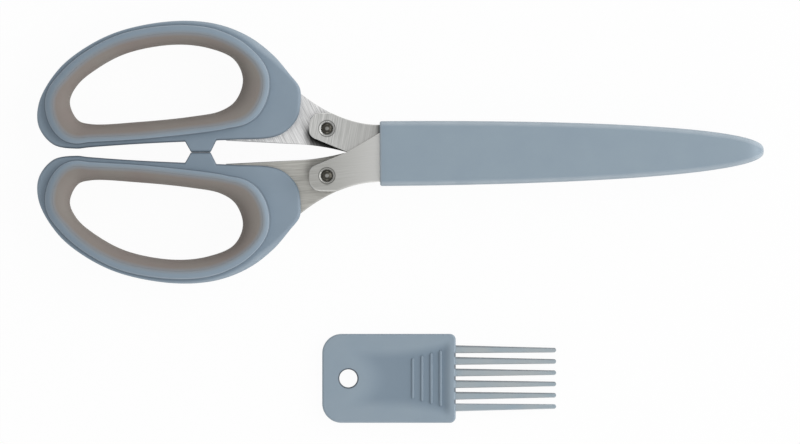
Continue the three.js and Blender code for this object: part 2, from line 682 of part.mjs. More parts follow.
function teeth() {
  const tipRound = TOOTH_TIP / 2;
  const outline = [flat([COMB_LENGTH - TOOTH_BURIED, -TOOTH_ROOT / 2])];
  const steps = 2 * BEND_STEPS;
  for (let i = 0; i <= steps; i += 1) {
    const angle = (i / steps - 0.5) * Math.PI;
    const x = COMB_LENGTH + TOOTH_LENGTH - tipRound + tipRound * Math.cos(angle);
    outline.push(flat([x, tipRound * Math.sin(angle)]));
  }
  outline.push(flat([COMB_LENGTH - TOOTH_BURIED, TOOTH_ROOT / 2]));
  return Array.from({ length: TOOTH_COUNT }, (_, i) => {
    const y = (i - (TOOTH_COUNT - 1) / 2) * PAIR_PITCH;
    return plate(outline, TOOTH_THICKNESS, []).translate(0, y, COMB_THICKNESS / 2);
  });
}

function comb() {
  const scooped = cut(combPlate(), scoop());
  return mesh("comb", join(scooped, ...ribs(), ...teeth()), "comb");
}

// The whole object

const scissors = new THREE.Group();
scissors.position.z = sheathHalfHeight;
const lowerHalf = half("lower");
lowerHalf.rotation.x = Math.PI; // the two halves are alike, one turned over
scissors.add(half("upper"), lowerHalf, pivot(), mesh("sheath", sheathGeometry(), "sheath"));

const cleaningComb = comb();
cleaningComb.position.set(...COMB_PLACE, 0);

const herbScissors = new THREE.Group();
herbScissors.add(scissors, cleaningComb);

export default herbScissors;
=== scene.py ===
"""Herb scissors in their sheath, with the cleaning comb beside them.

Lengths are millimetres until a mesh is made. The two halves are drawn with the middle of the blade
pack at z = 0 and the pivot at the origin; the lower half is the upper one turned over.
"""

import math

import bpy
import numpy as np
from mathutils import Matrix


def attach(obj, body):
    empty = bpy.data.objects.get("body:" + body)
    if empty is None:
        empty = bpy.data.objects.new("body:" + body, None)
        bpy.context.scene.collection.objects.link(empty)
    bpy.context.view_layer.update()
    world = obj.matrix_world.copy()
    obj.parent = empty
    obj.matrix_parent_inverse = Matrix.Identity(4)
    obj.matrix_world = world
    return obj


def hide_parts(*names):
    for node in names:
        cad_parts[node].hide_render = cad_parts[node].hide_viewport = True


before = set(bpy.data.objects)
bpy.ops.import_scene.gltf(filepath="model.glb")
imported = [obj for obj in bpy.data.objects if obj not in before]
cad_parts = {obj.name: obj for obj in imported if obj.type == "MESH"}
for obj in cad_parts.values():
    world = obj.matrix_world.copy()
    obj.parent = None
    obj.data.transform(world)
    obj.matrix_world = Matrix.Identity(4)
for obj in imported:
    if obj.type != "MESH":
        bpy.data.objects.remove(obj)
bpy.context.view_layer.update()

MM = 0.001
QUARTER = math.pi / 2

# Blade pack
PAIR_COUNT = 5
PAIR_PITCH = 3.62
BLADE_THICKNESS = 1.0
RUNNING_GAP = 0.1
BLADE_REACH = 104.0
PACK_HALF_WIDTH = 8.4
TIP_HALF_WIDTH = 0.7
EDGE_OVERLAP = 1.4
HEEL_FRONT = 13.0
HEEL_SLOPE = 8.0
BEVEL_WIDTH = 2.2
BEVEL_RUN_OUT = 3.0
EDGE_LAND = 0.25
CROTCH_BACK = 16.5
CROSSING_SLOPE = 0.58
CROSSING_CORNER = 5.0
MOUTH_HALF_WIDTH = 8.85
NECK_FLARE = 9.45
FLARE_POWER = 2.0
NECK_LEAN = 0.4
BLADE_CHAMFER = 0.16
CHAMFER_SHARE = 0.25

# Pivot and rivets
PIVOT_RADIUS = 2.5
PIVOT_HEAD_RADIUS = 4.4
PIVOT_HEAD_HEIGHT = 0.9
PIVOT_HEAD_ROUND = 0.3
PIVOT_SLOT_WIDTH = 0.9
PIVOT_SLOT_DEPTH = 0.5
SLOT_ROUND = 0.1
WASHER_RADIUS = 4.2
BORE_GAP = 0.1
RIVET_BACK = 22.6
RIVET_SIDE = 7.3
RIVET_RADIUS = 1.9
RIVET_HEAD_RADIUS = 1.8
RIVET_DOME = 1.1
# Painted highlight at the top of the rivet heads: the span of the dome's height share where it comes in
RIVET_HIGHLIGHT = (0.92, 0.98)
SHANK_STEP = 0.02
COUNTERSINK_RADIUS = 2.5
COUNTERSINK_SLOPE = 0.53
COUNTERSINK_DEPTH = 0.5
SPACER_WALL = 1.5
RING_CHAMFER = 0.12
POLE_RADIUS = 0.02

# Tail plates and tang
TAIL_BACK = 5.5
TAIL_OUTER = 4.8
TAIL_INNER = 2.4
TAIL_OUTER_CORNER = 4.0
TAIL_INNER_CORNER = 1.8
NECK_GAP = 2.3
TANG_DEPTH = 23.6
FLARE_DEPTH = 1.0
TANG_END_WIDTH = 3.4
TANG_SIDE = 2.1
TANG_END_SIDE = 3.6
TANG_BEND = 7.5
TANG_POWER = 1.6
# Painted shadow of the tail plates on the tang, painted shadow of the sheath's mouth on the upper plate, and
# painted shade round the countersinks
TAIL_SHADOW_REACH = 2.3
TAIL_SHADOW_SPREAD = 3.0
TAIL_SHADOW_TOP = (5.5, 9.5)
CROTCH_FADE = 0.8
MOUTH_SHADOW = 0.7
MOUTH_SHADOW_REACH = 1.7
RIVET_RING_SHADE = 0.8
RIVET_RING_SHADE_WIDTH = 0.16

# Handles
HANDLE_THICKNESS = 15.0
FLANGE_THICKNESS = 8.0
HOLE_LENGTH = 54.0
HOLE_WIDTH = 24.9
HOLE_SIDE = 8.6
NECK_LENGTH = 18.1
CROWN_POWER = 3.0
CREST_SLOPES = (0.45, 1.05)
RING_ROUND = 0.5
RING_FILLET = 0.3
FLANGE_ROUNDS = (0.9, 2.3)
FLANGE_ROUND_AIM = np.array([0.6, 0.8])
FLANGE_ROUND_POWER = 4
ROUND_SHARE = 0.8
GRIP_SEAM = 0.04
GRIP_TUCK = 0.15
GRIP_TUCK_DEPTH = 0.35
BUMPER_BACK = 31.35
BUMPER_BASE = 9.6
BUMPER_FACE = 6.0
BUMPER_GAP = 0.06
RIM_SOFTENING = 0.4
# Painted shade on the rims that face each other across the handles' gap and in the crease at the ring's foot
FACING_RIMS = (7.0, 4.5)
RIM_SHADE = 0.8
CREASE_SHADE = 0.35
SHADE_FADE = 0.75

# Finger loop from the back end of its hole over the outer side. Each point has its place as shares of
# the hole's length and width, the ring's width there and the width of the ring's hard shoulder.
LOOP_OUTLINE = np.array([
    [0.003, 0.275, 7.55, 2.3], [0.045, 0.485, 6.3, 2.4], [0.155, 0.687, 6.25, 2.2], [0.33, 0.885, 6.15, 2.3],
    [0.6, 0.992, 5.95, 2.35], [0.8, 0.949, 6.15, 2.4], [0.944, 0.81, 6.0, 2.3], [0.996, 0.56, 8.2, 2.0],
    [0.957, 0.305, 8.3, 2.0], [0.867, 0.168, 5.85, 1.5], [0.7, 0.098, 5.35, 1.6], [0.4, 0.032, 5.4, 1.4],
    [0.125, 0.005, 5.7, 1.6], [0.047, 0.06, 7.7, 2.0],
])
# The flange's rim beside the loop: the loop's point, counted on past the last one, and the distance
# from the hole's edge
RIM_OUTLINE = np.array([
    [11, 6.8], [12, 7.3], [12.5, 8.3], [13, 10.7], [13.5, 11.3], [14, 9.5],
    [15, 7.6], [16, 7.45], [17, 7.2], [18, 7.3], [19, 7.85],
])
# The flange's front end: distance behind the handle's end, distance from the centre line
NECK_OUTLINE = np.array([
    [16.7, 36], [9.0, 30.2], [3.9, 24.3], [0.7, 20.0], [0.4, 16.1],
    [1.3, 10.85], [3.9, 7.4], [6.8, 5.4], [10.4, 4.4], [22, 3.85],
])

# Sheath
SHEATH_WALL = 1.2
SHEATH_SIDE_WALL = 1.0
SHEATH_TIP_WALL = 2.5
SHEATH_SIDE_GAP = 0.6
SHEATH_HEAD_GAP = 0.4
SHEATH_TIP_GAP = 6.2
MOUTH_BACK = 6.2
MOUTH_OUTER_ROUND = 0.6
MOUTH_INNER_ROUND = 0.3
SHEATH_FILLET = 1.6
SHEATH_TAPER = (2.15, 0.4)
SHEATH_NOSE = (80, 0.35)
SHEATH_YAW = math.radians(0.45)
LEAST_SHARE = 0.0005
STEP_CROWDING = 2.2

# Comb, with its own origin at the middle of its back edge
COMB_PLACE = np.array([-24.15, -70.2, 0.0])
COMB_LENGTH = 41.45
COMB_WIDTH = 27.6
COMB_THICKNESS = 4.2
COMB_BACK_CORNER = 6.0
COMB_FRONT_CORNER = 1.8
COMB_EDGE_ROUND = 0.6
COMB_HOLE_RADIUS = 2.8
COMB_HOLE_FRONT = 8.1
HOLE_LIP = 0.5
# Painted shade on the hang hole's lip, row by row
HOLE_SHADE = np.array([0.2, 0.7, 0.9, 0.9, 0.6, 0])
SCOOP_DEPTH = 0.9
SCOOP_START_SHARE = 0.65
SCOOP_START = 15.0
SCOOP_RUN = 5.0
SCOOP_WINGS = 7.0
SCOOP_END_WALL = 1.3
SCOOP_END_RUN = 2.8
SCOOP_HALF = 9.6
SCOOP_FLARE = 3.4
SCOOP_SIDE_RUN = 4.0
RIB_COUNT = 4
RIB_PITCH = 2.87
RIB_WIDTH = 0.85
RIB_LENGTH = 17.2
RIB_SHORTER = 1.6
RIB_SUNK = 0.35
RIB_FRONT = 4.7
RIB_ROUND = 0.3
# The ribs take half of the scoop's painted shade
RIB_HOLLOW_SHADE = 0.5
TOOTH_COUNT = PAIR_COUNT + 1
TOOTH_LENGTH = 31.2
TOOTH_ROOT = 2.1
TOOTH_TIP = 1.2
TOOTH_TIP_PITCH = 3.5
TOOTH_THICKNESS = 2.6
TOOTH_BURIED = 1.5
TOOTH_ROUND = 0.3
TOOTH_DRAFT = 0.22
# Painted shade along the +Y sides of the teeth and on the front edge between them
TOOTH_SHADE = 0.7
TOOTH_SHADE_SPAN = (0.6, 0.85)
NOTCH_SHADE_SPAN = (0.2, 0.6)
NOTCH_SHADE_POWER = 0.25
FRONT_FACING = 0.9

# Fineness
RIM_STEPS = 900
PAIRING_SOFTENING = 24
GRIP_STEPS = 720
GRIP_ROWS = 30
SHOULDER_ROWS = 12
FINE_STEPS = 2400
TURN_STEPS = 72
SLOT_TURN_STEPS = 288
SLOT_STEPS = 90
DOME_STEPS = 24
FACE_COLUMNS = 72
PLAIN_COLUMNS = 10
BEVEL_COLUMNS = 5
BLADE_STATIONS = 130
RIVET_STATIONS = 96
STATION_DIGITS = 3
RIVET_ZONE = 6.0
NEAR_ENDS = np.array([0, BLADE_CHAMFER, 0.2, 0.45, 0.8, 1.2, 1.7, 2.3, 3, 3.8])
SPINE_POINTS = 60
TAIL_FLARE_POINTS = 24
TANG_FLARE_POINTS = 40
TANG_POINTS = 16
SHEATH_STEPS = 110
COMB_STEPS = 640
COMB_ROWS = 88
UNDERSIDE_STRIDE = 11
RIB_POINTS = 8
TOOTH_POINTS = 10
RING_ARC = 7
TIP_ARC = 7
SECTION_ARC = 8
SMALL_ARC = 6
CORNER_ARC = 24
POINT_ANGLE = 0.12
FLAT_SHARES = np.array([0.04, 0.25, 0.5, 0.75, 0.96])
SIDE_SHARES = np.array([0.02, 0.25, 0.5, 0.75, 0.98])
PLAIN_SHARP = math.radians(40)
BLADE_SHARP = math.radians(25)

# Materials: colours are 0 to 255, noise scales count per metre, reliefs are metres
NOISE_SPAN = (0.3, 0.7)
LINE_SPAN = (0.36, 0.64)
GLOSS_CHANGE = (-0.05, 0.05)
LINE_GLOSS_CHANGE = (0.08, -0.08)
WEAR_BREAKS = (0.6, 1.0)
SCRATCH_STRETCH = (0.025, 1.0, 1.0)
COARSE_SHARE = 0.55
PATCH_SCALE = 90.0
PLASTIC_BREAK_SCALE = 260.0
STEEL_BREAK_SCALE = 400.0
GRAIN_RELIEF = 0.0001
SCRATCH_RELIEF = 0.00005
SCRATCH_BUMP = 0.25
PLASTIC_IOR = 1.46
SEAM_BLEND = 1.1
SEAM_SHARE = 0.5
FRONT_SHARE = 0.9
BEVEL_SHARE = 0.6
STEEL_WEAR = 0.35
BLUE = (136, 152, 166)
TAUPE = (135, 130, 124)
# Colours of painted shade: in the comb's scoop, in the plastic's creases and gaps, and on the steel
HOLLOW_SHADE = (117, 134, 149)
PAINTED_SHADE_COLOUR = (50, 58, 68)
PAINTED_STEEL_SHADE = (20, 20, 19)
BEVEL_STEEL = (214, 214, 212)
WORN_STEEL = (225, 225, 222)

# Stage, light and camera in metres; the camera looks straight down on a picture of 800 by 444 pixels
FLOOR_HALF = 3.0
FLOOR_GREY = 0.88
FLOOR_WHITE = 0.96
WORLD_LEVEL = 0.5
LIGHT_AIM = np.array([0.0, -0.02, 0.01])
CAMERA_HEIGHT = 4.0
VIEW_WIDTH = 0.248
VIEW_CENTRE_Y = -0.02163
SENSOR = 36.0

# Places that follow from the sizes
RIVET_X = -RIVET_BACK
NECK_X = RIVET_X - TAIL_BACK - NECK_GAP
HOLE_BACK_X = NECK_X - NECK_LENGTH - HOLE_LENGTH
MOUTH_X = -MOUTH_BACK
CROTCH = (-CROTCH_BACK, 0.0)
STACK_HEIGHT = (PAIR_COUNT - 1) * PAIR_PITCH + 2 * BLADE_THICKNESS + RUNNING_GAP
HEAD_PLANE = STACK_HEIGHT / 2 + RUNNING_GAP / 2
HALF_HEIGHT = HEAD_PLANE + PIVOT_HEAD_HEIGHT + SHEATH_HEAD_GAP + SHEATH_WALL
BLADE_DROP = (RUNNING_GAP + BLADE_THICKNESS) / 2
LAST_LEVEL = (PAIR_COUNT - 1) // 2
LOOP_POINTS = np.array([HOLE_BACK_X, HOLE_SIDE, 0, 0]) + LOOP_OUTLINE * [HOLE_LENGTH, HOLE_WIDTH, 1, 1]


# Values and curves in the plane

def side_by_side(*values):
    """Values stacked along a new last axis, after stretching them to one shape."""
    return np.stack(np.broadcast_arrays(*values), axis=-1)


def between(first, last, share):
    """The value at a share of the way from first to last."""
    return first + (last - first) * share


def smooth_step(low, high, value):
    """0 below low, 1 above high and a smooth S between."""
    share = np.clip((value - low) / (high - low), 0, 1)
    return share * share * (3 - 2 * share)


def unit(vectors):
    """Vectors of length 1 in the same directions."""
    return vectors / np.linalg.norm(vectors, axis=1)[:, None]


def quarter_turn(steps):
    """Angles from nothing to a quarter turn."""
    return np.linspace(0, QUARTER, steps)


def closed_curve(points, share):
    """Smooth closed curve through points (centripetal Catmull-Rom), at shares 0 to 1 of its spans.

    Each span is a cubic with the end slopes of the neighbouring points, whose knots are as far apart
    as the square roots of the distances between the points.
    """
    place = (share % 1.0) * len(points)
    start = np.floor(place).astype(int)
    w = (place - start)[:, None]
    p0, p1, p2, p3 = (points[(start + k) % len(points)] for k in (-1, 0, 1, 2))
    spans = (p1 - p0, p2 - p1, p3 - p2)
    d0, d1, d2 = (np.sqrt(np.linalg.norm(span, axis=1))[:, None] for span in spans)
    leave = d1 * ((p1 - p0) / d0 - (p2 - p0) / (d0 + d1) + (p2 - p1) / d1)
    arrive = d1 * ((p2 - p1) / d1 - (p3 - p1) / (d1 + d2) + (p3 - p2) / d2)
    return (
        (2 * w**3 - 3 * w**2 + 1) * p1
        + (w**3 - 2 * w**2 + w) * leave
        + (3 * w**2 - 2 * w**3) * p2
        + (w**3 - w**2) * arrive
    )


def resampled(points, count):
    """A closed polyline at count points that are equally far apart along it."""
    ring = np.vstack([points, points[:1]])
    along = np.concatenate([[0], np.cumsum(np.linalg.norm(np.diff(ring, axis=0), axis=1))])
    wanted = np.linspace(0, along[-1], count, endpoint=False)
    return side_by_side(*(np.interp(wanted, along, values) for values in ring.T))


def softened(values, half_width):
    """A ring of values after a running mean that weighs the neighbours by a raised cosine."""
    offsets = np.arange(-half_width, half_width + 1)
    weights = 1 + np.cos(math.pi * offsets / (half_width + 1))
    shifted = np.stack([np.roll(values, -k, axis=0) for k in offsets])
    return np.tensordot(weights / weights.sum(), shifted, axes=1)


def rounded_corner(before, corner, after, distance, steps=8):
    """Quadratic curve that leaves a corner's two sides at a distance from the corner."""
    before, corner, after = (np.array(point, float) for point in (before, corner, after))
    start = corner + distance * (before - corner) / np.linalg.norm(before - corner)
    end = corner + distance * (after - corner) / np.linalg.norm(after - corner)
    w = np.linspace(0, 1, steps)[:, None]
    return (1 - w) ** 2 * start + 2 * w * (1 - w) * corner + w**2 * end


def corner_arcs(half_width, half_height, radii, steps):
    """Quarter arcs in the four corners of a box about the origin, each point with a mark for its edge.

    The mark is the sine of twice the angle, so it is greatest in the middle of the arc.
    """
    arcs = []
    for quarter, radius in enumerate(radii):
        turn = quarter_turn(steps) + quarter * QUARTER
        across = np.sign(np.cos(turn[1])) * (half_width - radius) + radius * np.cos(turn)
        up = np.sign(np.sin(turn[1])) * (half_height - radius) + radius * np.sin(turn)
        arcs.append(side_by_side(across, up, np.abs(np.sin(2 * turn))))
    return arcs


# Shells and pieces

def closed_shell(grid, rows_close):
    """Quads over a grid that holds x, y, z and the marks of each point.

    The columns close on themselves. Either the rows close too, or a fan of triangles fills each end row.
    """
    rows, columns = grid.shape[:2]
    points = grid.reshape(rows * columns, -1)
    number = np.arange(rows * columns).reshape(rows, columns)
    if rows_close:
        number = np.vstack([number, number[:1]])
    number = np.hstack([number, number[:, :1]])
    corners = (number[:-1, :-1], number[1:, :-1], number[1:, 1:], number[:-1, 1:])
    quads = side_by_side(*corners).reshape(-1, 4)
    triangles = np.empty((0, 3), int)
    if not rows_close:
        hub = len(points)
        points = np.vstack([points, grid[0].mean(axis=0), grid[-1].mean(axis=0)])
        first, last = number[0], number[-1]
        triangles = np.vstack([
            side_by_side(hub, first[:-1], first[1:]),
            side_by_side(hub + 1, last[1:], last[:-1]),
        ])
    halves = np.vstack([quads[:, :3], quads[:, [0, 2, 3]], triangles])
    a, b, c = (points[halves[:, k], :3] for k in (0, 1, 2))
    if np.einsum("ij,ij->", a, np.cross(b, c)) < 0:
        quads, triangles = quads[:, ::-1], triangles[:, ::-1]
    return points, quads, triangles


def moved(shell, offset):
    """The shell, moved by an offset."""
    points = shell[0].copy()
    points[:, :3] += offset
    return points, shell[1], shell[2]


def on_side(shell, side):
    """A shell of the upper half at its real height, or turned over about X for the lower half."""
    points = shell[0].copy()
    if side == "lower":
        points[:, 1:3] *= -1
    points[:, 2] += HALF_HEIGHT
    return points, shell[1], shell[2]


def piece(name, shells, marks, material, body, nodes=(), sharp=PLAIN_SHARP):
    """One object from shells, riding on a body. Marks name the values that follow x, y and z."""
    starts = np.cumsum([0] + [len(shell[0]) for shell in shells])
    points = np.vstack([shell[0] for shell in shells])
    quads = np.vstack([shell[1] + start for shell, start in zip(shells, starts)])
    triangles = np.vstack([shell[2] + start for shell, start in zip(shells, starts)])
    mesh = bpy.data.meshes.new(name)
    mesh.vertices.add(len(points))
    mesh.vertices.foreach_set("co", (points[:, :3] * MM).ravel())
    mesh.loops.add(quads.size + triangles.size)
    mesh.loops.foreach_set("vertex_index", np.concatenate([quads.ravel(), triangles.ravel()]))
    sizes = np.repeat([4, 3], [len(quads), len(triangles)])
    mesh.polygons.add(len(sizes))
    mesh.polygons.foreach_set("loop_start", np.cumsum(sizes) - sizes)
    mesh.update(calc_edges=True)
    mesh.shade_smooth()
    mesh.set_sharp_from_angle(angle=sharp)
    for k, mark in enumerate(marks):
        values = np.ascontiguousarray(points[:, 3 + k], dtype=np.float32)
        mesh.attributes.new(mark, "FLOAT", "POINT").data.foreach_set("value", values)
    mesh.materials.append(material)
    made = bpy.data.objects.new(name, mesh)
    bpy.context.scene.collection.objects.link(made)
    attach(made, body)
    if nodes:
        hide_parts(*nodes)


def half_piece(side, kind, shell, marks, material, tail="", sharp=PLAIN_SHARP):
    """A piece of one half of the scissors, in place of the solid of that kind and tail."""
    shells = [on_side(shell, side)]
    nodes = [f"{kind}_{side}{tail}"]
    piece(f"{side}_{kind}{tail}", shells, marks, material, f"{side}_half", nodes, sharp)


# Finger loops

def loop_at(share):
    """Hole's edge, direction out of the hole, ring's width and shoulder's width at shares of the loop.

    One smooth closed curve runs through the loop's points with all four of their values.
    """
    step = 1e-4
    values = closed_curve(LOOP_POINTS, share)
    along = unit((closed_curve(LOOP_POINTS, share + step) - closed_curve(LOOP_POINTS, share - step))[:, :2])
    return values[:, :2], side_by_side(-along[:, 1], along[:, 0]), values[:, 2:3], values[:, 3:]


def crown(distance, width):
    """Height of the ring over the middle plane: a quarter of a superellipse from the hole outwards."""
    share = np.abs(1 - distance / width) ** CROWN_POWER
    return HANDLE_THICKNESS / 2 * (1 - share) ** (1 / CROWN_POWER)


def flange_rim():
    """The flange's outline: the loop moved outwards, the neck's points and the stop bumper."""
    edge, out, _, _ = loop_at(RIM_OUTLINE[:, 0] / len(LOOP_OUTLINE))
    loop = edge + out * RIM_OUTLINE[:, 1:]
    neck = side_by_side(NECK_X - NECK_OUTLINE[:, 0], NECK_OUTLINE[:, 1])
    rim = closed_curve(np.vstack([loop, neck]), np.linspace(0, 1, FINE_STEPS, endpoint=False))
    middle = NECK_X - BUMPER_BACK
    on_bumper = (rim[:, 1] < HOLE_SIDE) & (np.abs(rim[:, 0] - middle) < BUMPER_BASE / 2)
    first, last = np.flatnonzero(on_bumper)[[0, -1]]
    bumper = [
        [middle + BUMPER_BASE / 2, rim[first, 1]],
        [middle + BUMPER_FACE / 2, BUMPER_GAP / 2],
        [middle - BUMPER_FACE / 2, BUMPER_GAP / 2],
        [middle - BUMPER_BASE / 2, rim[last, 1]],
    ]
    rim = resampled(np.vstack([rim[:first], bumper, rim[last + 1:]]), FINE_STEPS)
    spacing = np.linalg.norm(rim[1] - rim[0])
    return softened(rim, int(RIM_SOFTENING / spacing))


def paired_with_loop(rim):
    """Points of the rim, and the shares of the loop that belong to them.

    Each point of the rim belongs to the nearest ring foot. The stations are even in the mean of the
    two shares travelled, so that neither outline has long steps.
    """
    share = np.arange(len(rim)) / len(rim)
    edge, out, width, _ = loop_at(share)
    foot = edge + out * width
    squared = (rim**2).sum(axis=1)[:, None] + (foot**2).sum(axis=1) - 2 * rim @ foot.T
    near = np.unwrap(share[squared.argmin(axis=1)], period=1)
    near = near[0] + share + softened(near - near[0] - share, PAIRING_SOFTENING)
    near = np.append(near, near[0] + 1)
    closed = np.append(share, 1)
    travelled = (closed + near - near[0]) / 2
    along = np.interp(np.linspace(0, 1, RIM_STEPS, endpoint=False), travelled, closed)
    x, y = (np.interp(along, closed, np.append(values, values[0])) for values in rim.T)
    return side_by_side(x, y), np.interp(along, closed, near)


def along_aim(base, aim, distance):
    """Points at distances from a base line along an aim."""
    return base[:, None, :] + aim[:, None, :] * distance[..., None]


def strip(base, aim, distance, height, edge, seam, painted_shade=0.0):
    """Points at distances from a base line along an aim, at a height, with their three marks."""
    plan = along_aim(base, aim, distance)
    return side_by_side(plan[..., 0], plan[..., 1], height, edge, seam, painted_shade)


def both_halves(upper):
    """A whole section from its upper half and that half's mirror image in the middle plane."""
    lower = upper[:, ::-1].copy()
    lower[..., 2] *= -1
    return np.concatenate([upper, lower], axis=1)


def arc_shade(angle):
    """A painted shade mark over a quarter arc: it grows as the arc turns down and fades before the upright
    wall.
    """
    return np.sin(angle) ** 2 * (1 - smooth_step(SHADE_FADE, 1, angle / QUARTER))


def handle_shell():
    """The hard handle: a section carried round the loop.

    From the grip's seat the section follows the crown, less a parabola that tilts it outwards to the
    ring's crest, most at the back end. It turns down a small arc, falls to a fillet, crosses the
    flange to the rim and turns down there in a larger arc, the largest at the front of the outer side.
    The crease at the ring's foot and the rims that face each other across the handles' gap get painted
    shade.
    """
    rim, share = paired_with_loop(flange_rim())
    edge, out, width, hard = loop_at(share)
    foot = edge + out * width
    gap = np.linalg.norm(rim - foot, axis=1)[:, None]
    aim = (rim - foot) / gap
    flange = FLANGE_THICKNESS / 2
    angle = quarter_turn(RING_ARC)[None, :]
    slope = between(*CREST_SLOPES, np.clip(-out[:, :1], 0, 1) ** 2)
    tilt = np.arctan(slope)
    run = hard - RING_ROUND * (1 - np.sin(tilt))
    across = np.linspace(0, 1, SHOULDER_ROWS) * run
    shoulder = width - hard + across
    shoulder_z = crown(shoulder, width) - slope * across**2 / (2 * run)
    turn = between(tilt, QUARTER, np.linspace(0, 1, RING_ARC)[1:])
    crest = width - RING_ROUND * (1 - np.sin(turn))
    crest_z = shoulder_z[:, -1:] - RING_ROUND * (np.cos(tilt) - np.cos(turn))
    fillet = RING_FILLET * (1 - np.cos(angle))
    fillet_z = flange + RING_FILLET * (1 - np.sin(angle))
    broad = np.clip(aim @ FLANGE_ROUND_AIM, 0, 1)[:, None] ** FLANGE_ROUND_POWER
    rim_round = np.minimum(between(*FLANGE_ROUNDS, broad), ROUND_SHARE * (gap - RING_FILLET))
    flat = between(RING_FILLET, gap - rim_round, FLAT_SHARES)
    brim = gap - rim_round * (1 - np.sin(angle))
    brim_z = flange - rim_round * (1 - np.cos(angle))
    rim_shade = RIM_SHADE * smooth_step(*FACING_RIMS, rim[:, 1:]) * arc_shade(angle)
    upper = np.concatenate([
        strip(edge, out, shoulder, shoulder_z, 0.0, across),
        strip(edge, out, crest, crest_z, np.sin(2 * turn), hard),
        strip(foot, aim, fillet, fillet_z, 0.0, hard, CREASE_SHADE),
        strip(foot, aim, flat, flange, 0.0, hard),
        strip(foot, aim, brim, brim_z, np.sin(2 * angle) * broad, hard, rim_shade),
    ], axis=1)
    return closed_shell(both_halves(upper), True)


def grip_shell():
    """The soft liner: the crown from the hole's edge up to the hard shoulder, carried round the loop.

    Its edge is tucked in under the shoulder.
    """
    edge, out, width, hard = loop_at(np.linspace(0, 1, GRIP_STEPS, endpoint=False))
    angle = (np.arange(GRIP_ROWS) + 0.5) / (GRIP_ROWS - 0.5) * QUARTER
    band = width - hard - GRIP_SEAM
    distance = band * (1 - np.cos(angle))
    upper = np.concatenate([
        strip(edge, out, distance, crown(distance, width), 0.0, band - distance),
        strip(edge, out, band + GRIP_TUCK, crown(band, width) - GRIP_TUCK_DEPTH, 0.0, 0.0),
    ], axis=1)
    return closed_shell(both_halves(upper), True)


# Blades of the upper half, with the cutting edge on the +Y side in front of the pivot

def outer_y(x, lean):
    """The outer edge behind the sheath's mouth, which flares out to the handle by a power."""
    return MOUTH_HALF_WIDTH + lean + NECK_FLARE * ((MOUTH_X - x) / (MOUTH_X - NECK_X)) ** FLARE_POWER


def flare_line(start, lean, count):
    """Points on the outer edge from a start to the sheath's mouth."""
    x = np.linspace(start, MOUTH_X, count)
    return side_by_side(x, outer_y(x, lean))


def front_lines():
    """The edges in front: the crossing and the parabolic spine below, the heel and cutting edge above."""
    spine_x = np.linspace(PIVOT_RADIUS + CROSSING_CORNER, BLADE_REACH, SPINE_POINTS)
    fall = (PACK_HALF_WIDTH - TIP_HALF_WIDTH) * (1 - (spine_x / BLADE_REACH) ** 2)
    spine = side_by_side(spine_x, -TIP_HALF_WIDTH - fall)
    corner = (PACK_HALF_WIDTH / CROSSING_SLOPE - CROTCH_BACK, -PACK_HALF_WIDTH)
    low = np.vstack([CROTCH, rounded_corner(CROTCH, corner, spine[0], CROSSING_CORNER), spine])
    tip_start = BLADE_REACH - 2 * TIP_HALF_WIDTH
    at_tip = EDGE_OVERLAP * (BLADE_REACH - tip_start) / (BLADE_REACH - HEEL_FRONT)
    high = np.array([
        [HEEL_FRONT - HEEL_SLOPE, PACK_HALF_WIDTH],
        [HEEL_FRONT, EDGE_OVERLAP],
        [tip_start, at_tip],
        [BLADE_REACH, -TIP_HALF_WIDTH / 2],
    ])
    return low, high


def plain_lines(lean):
    """Lower and upper edge of a blade whose tail ends in a plate round the rivet."""
    low, high = front_lines()
    back = RIVET_X - TAIL_BACK
    outer = RIVET_SIDE + TAIL_OUTER
    inner = RIVET_SIDE - TAIL_INNER
    rise = (outer - MOUTH_HALF_WIDTH - lean) / NECK_FLARE
    meet = between(MOUTH_X, NECK_X, rise ** (1 / FLARE_POWER))
    lower_tail = rounded_corner((back, outer), (back, inner), CROTCH, TAIL_INNER_CORNER)
    upper_tail = rounded_corner((back, inner), (back, outer), (meet, outer), TAIL_OUTER_CORNER)
    flare = flare_line(meet, lean, TAIL_FLARE_POINTS)
    return np.vstack([lower_tail, low]), np.vstack([upper_tail, flare, high])


def tang_lines(lean):
    """Lower and upper edge of the blade that runs on into the handle as its tang."""
    low, high = front_lines()
    end = (NECK_X - TANG_DEPTH, TANG_END_SIDE)
    flare = flare_line(NECK_X - FLARE_DEPTH, lean, TANG_FLARE_POINTS)
    share = np.linspace(0, 1, TANG_POINTS)
    inside = side_by_side(
        between(end[0], flare[0, 0], share),
        between(TANG_SIDE + TANG_END_WIDTH, flare[0, 1], share**TANG_POWER),
    )
    bend = rounded_corner(end, (-CROTCH_BACK - TANG_BEND, TANG_SIDE), CROTCH, TANG_BEND)
    return np.vstack([end, bend, low]), np.vstack([inside, flare[1:], high])


def painted_tail_shadow(x, y):
    """Painted shadow of the tail plates on the tang: full under their edge, and gone a little way off.

    Outside the plates' edge it reaches three times as far below the plates as behind them. It fades
    out towards the top and towards the crotch.
    """
    low_line = plain_lines(0.0)[0]
    ahead = x - low_line[0, 0]
    above = y - np.interp(x, *low_line.T)
    outside = np.hypot(np.minimum(ahead, 0), np.minimum(above, 0) / TAIL_SHADOW_SPREAD)
    inside = np.minimum(np.maximum(ahead, 0), np.maximum(above, 0))
    fading = (1 - smooth_step(*TAIL_SHADOW_TOP, y)) * smooth_step(0, CROTCH_FADE, CROTCH[0] - x)
    return (1 - smooth_step(0, TAIL_SHADOW_REACH, outside + inside)) * fading


def painted_rivet_ring_shade(x, y):
    """Painted shade on a tail plate round the edge of the rivet's countersink: a bell curve of the distance.
    """
    from_edge = np.hypot(x - RIVET_X, y - RIVET_SIDE) - COUNTERSINK_RADIUS
    return RIVET_RING_SHADE * np.exp(-((from_edge / RIVET_RING_SHADE_WIDTH) ** 2))


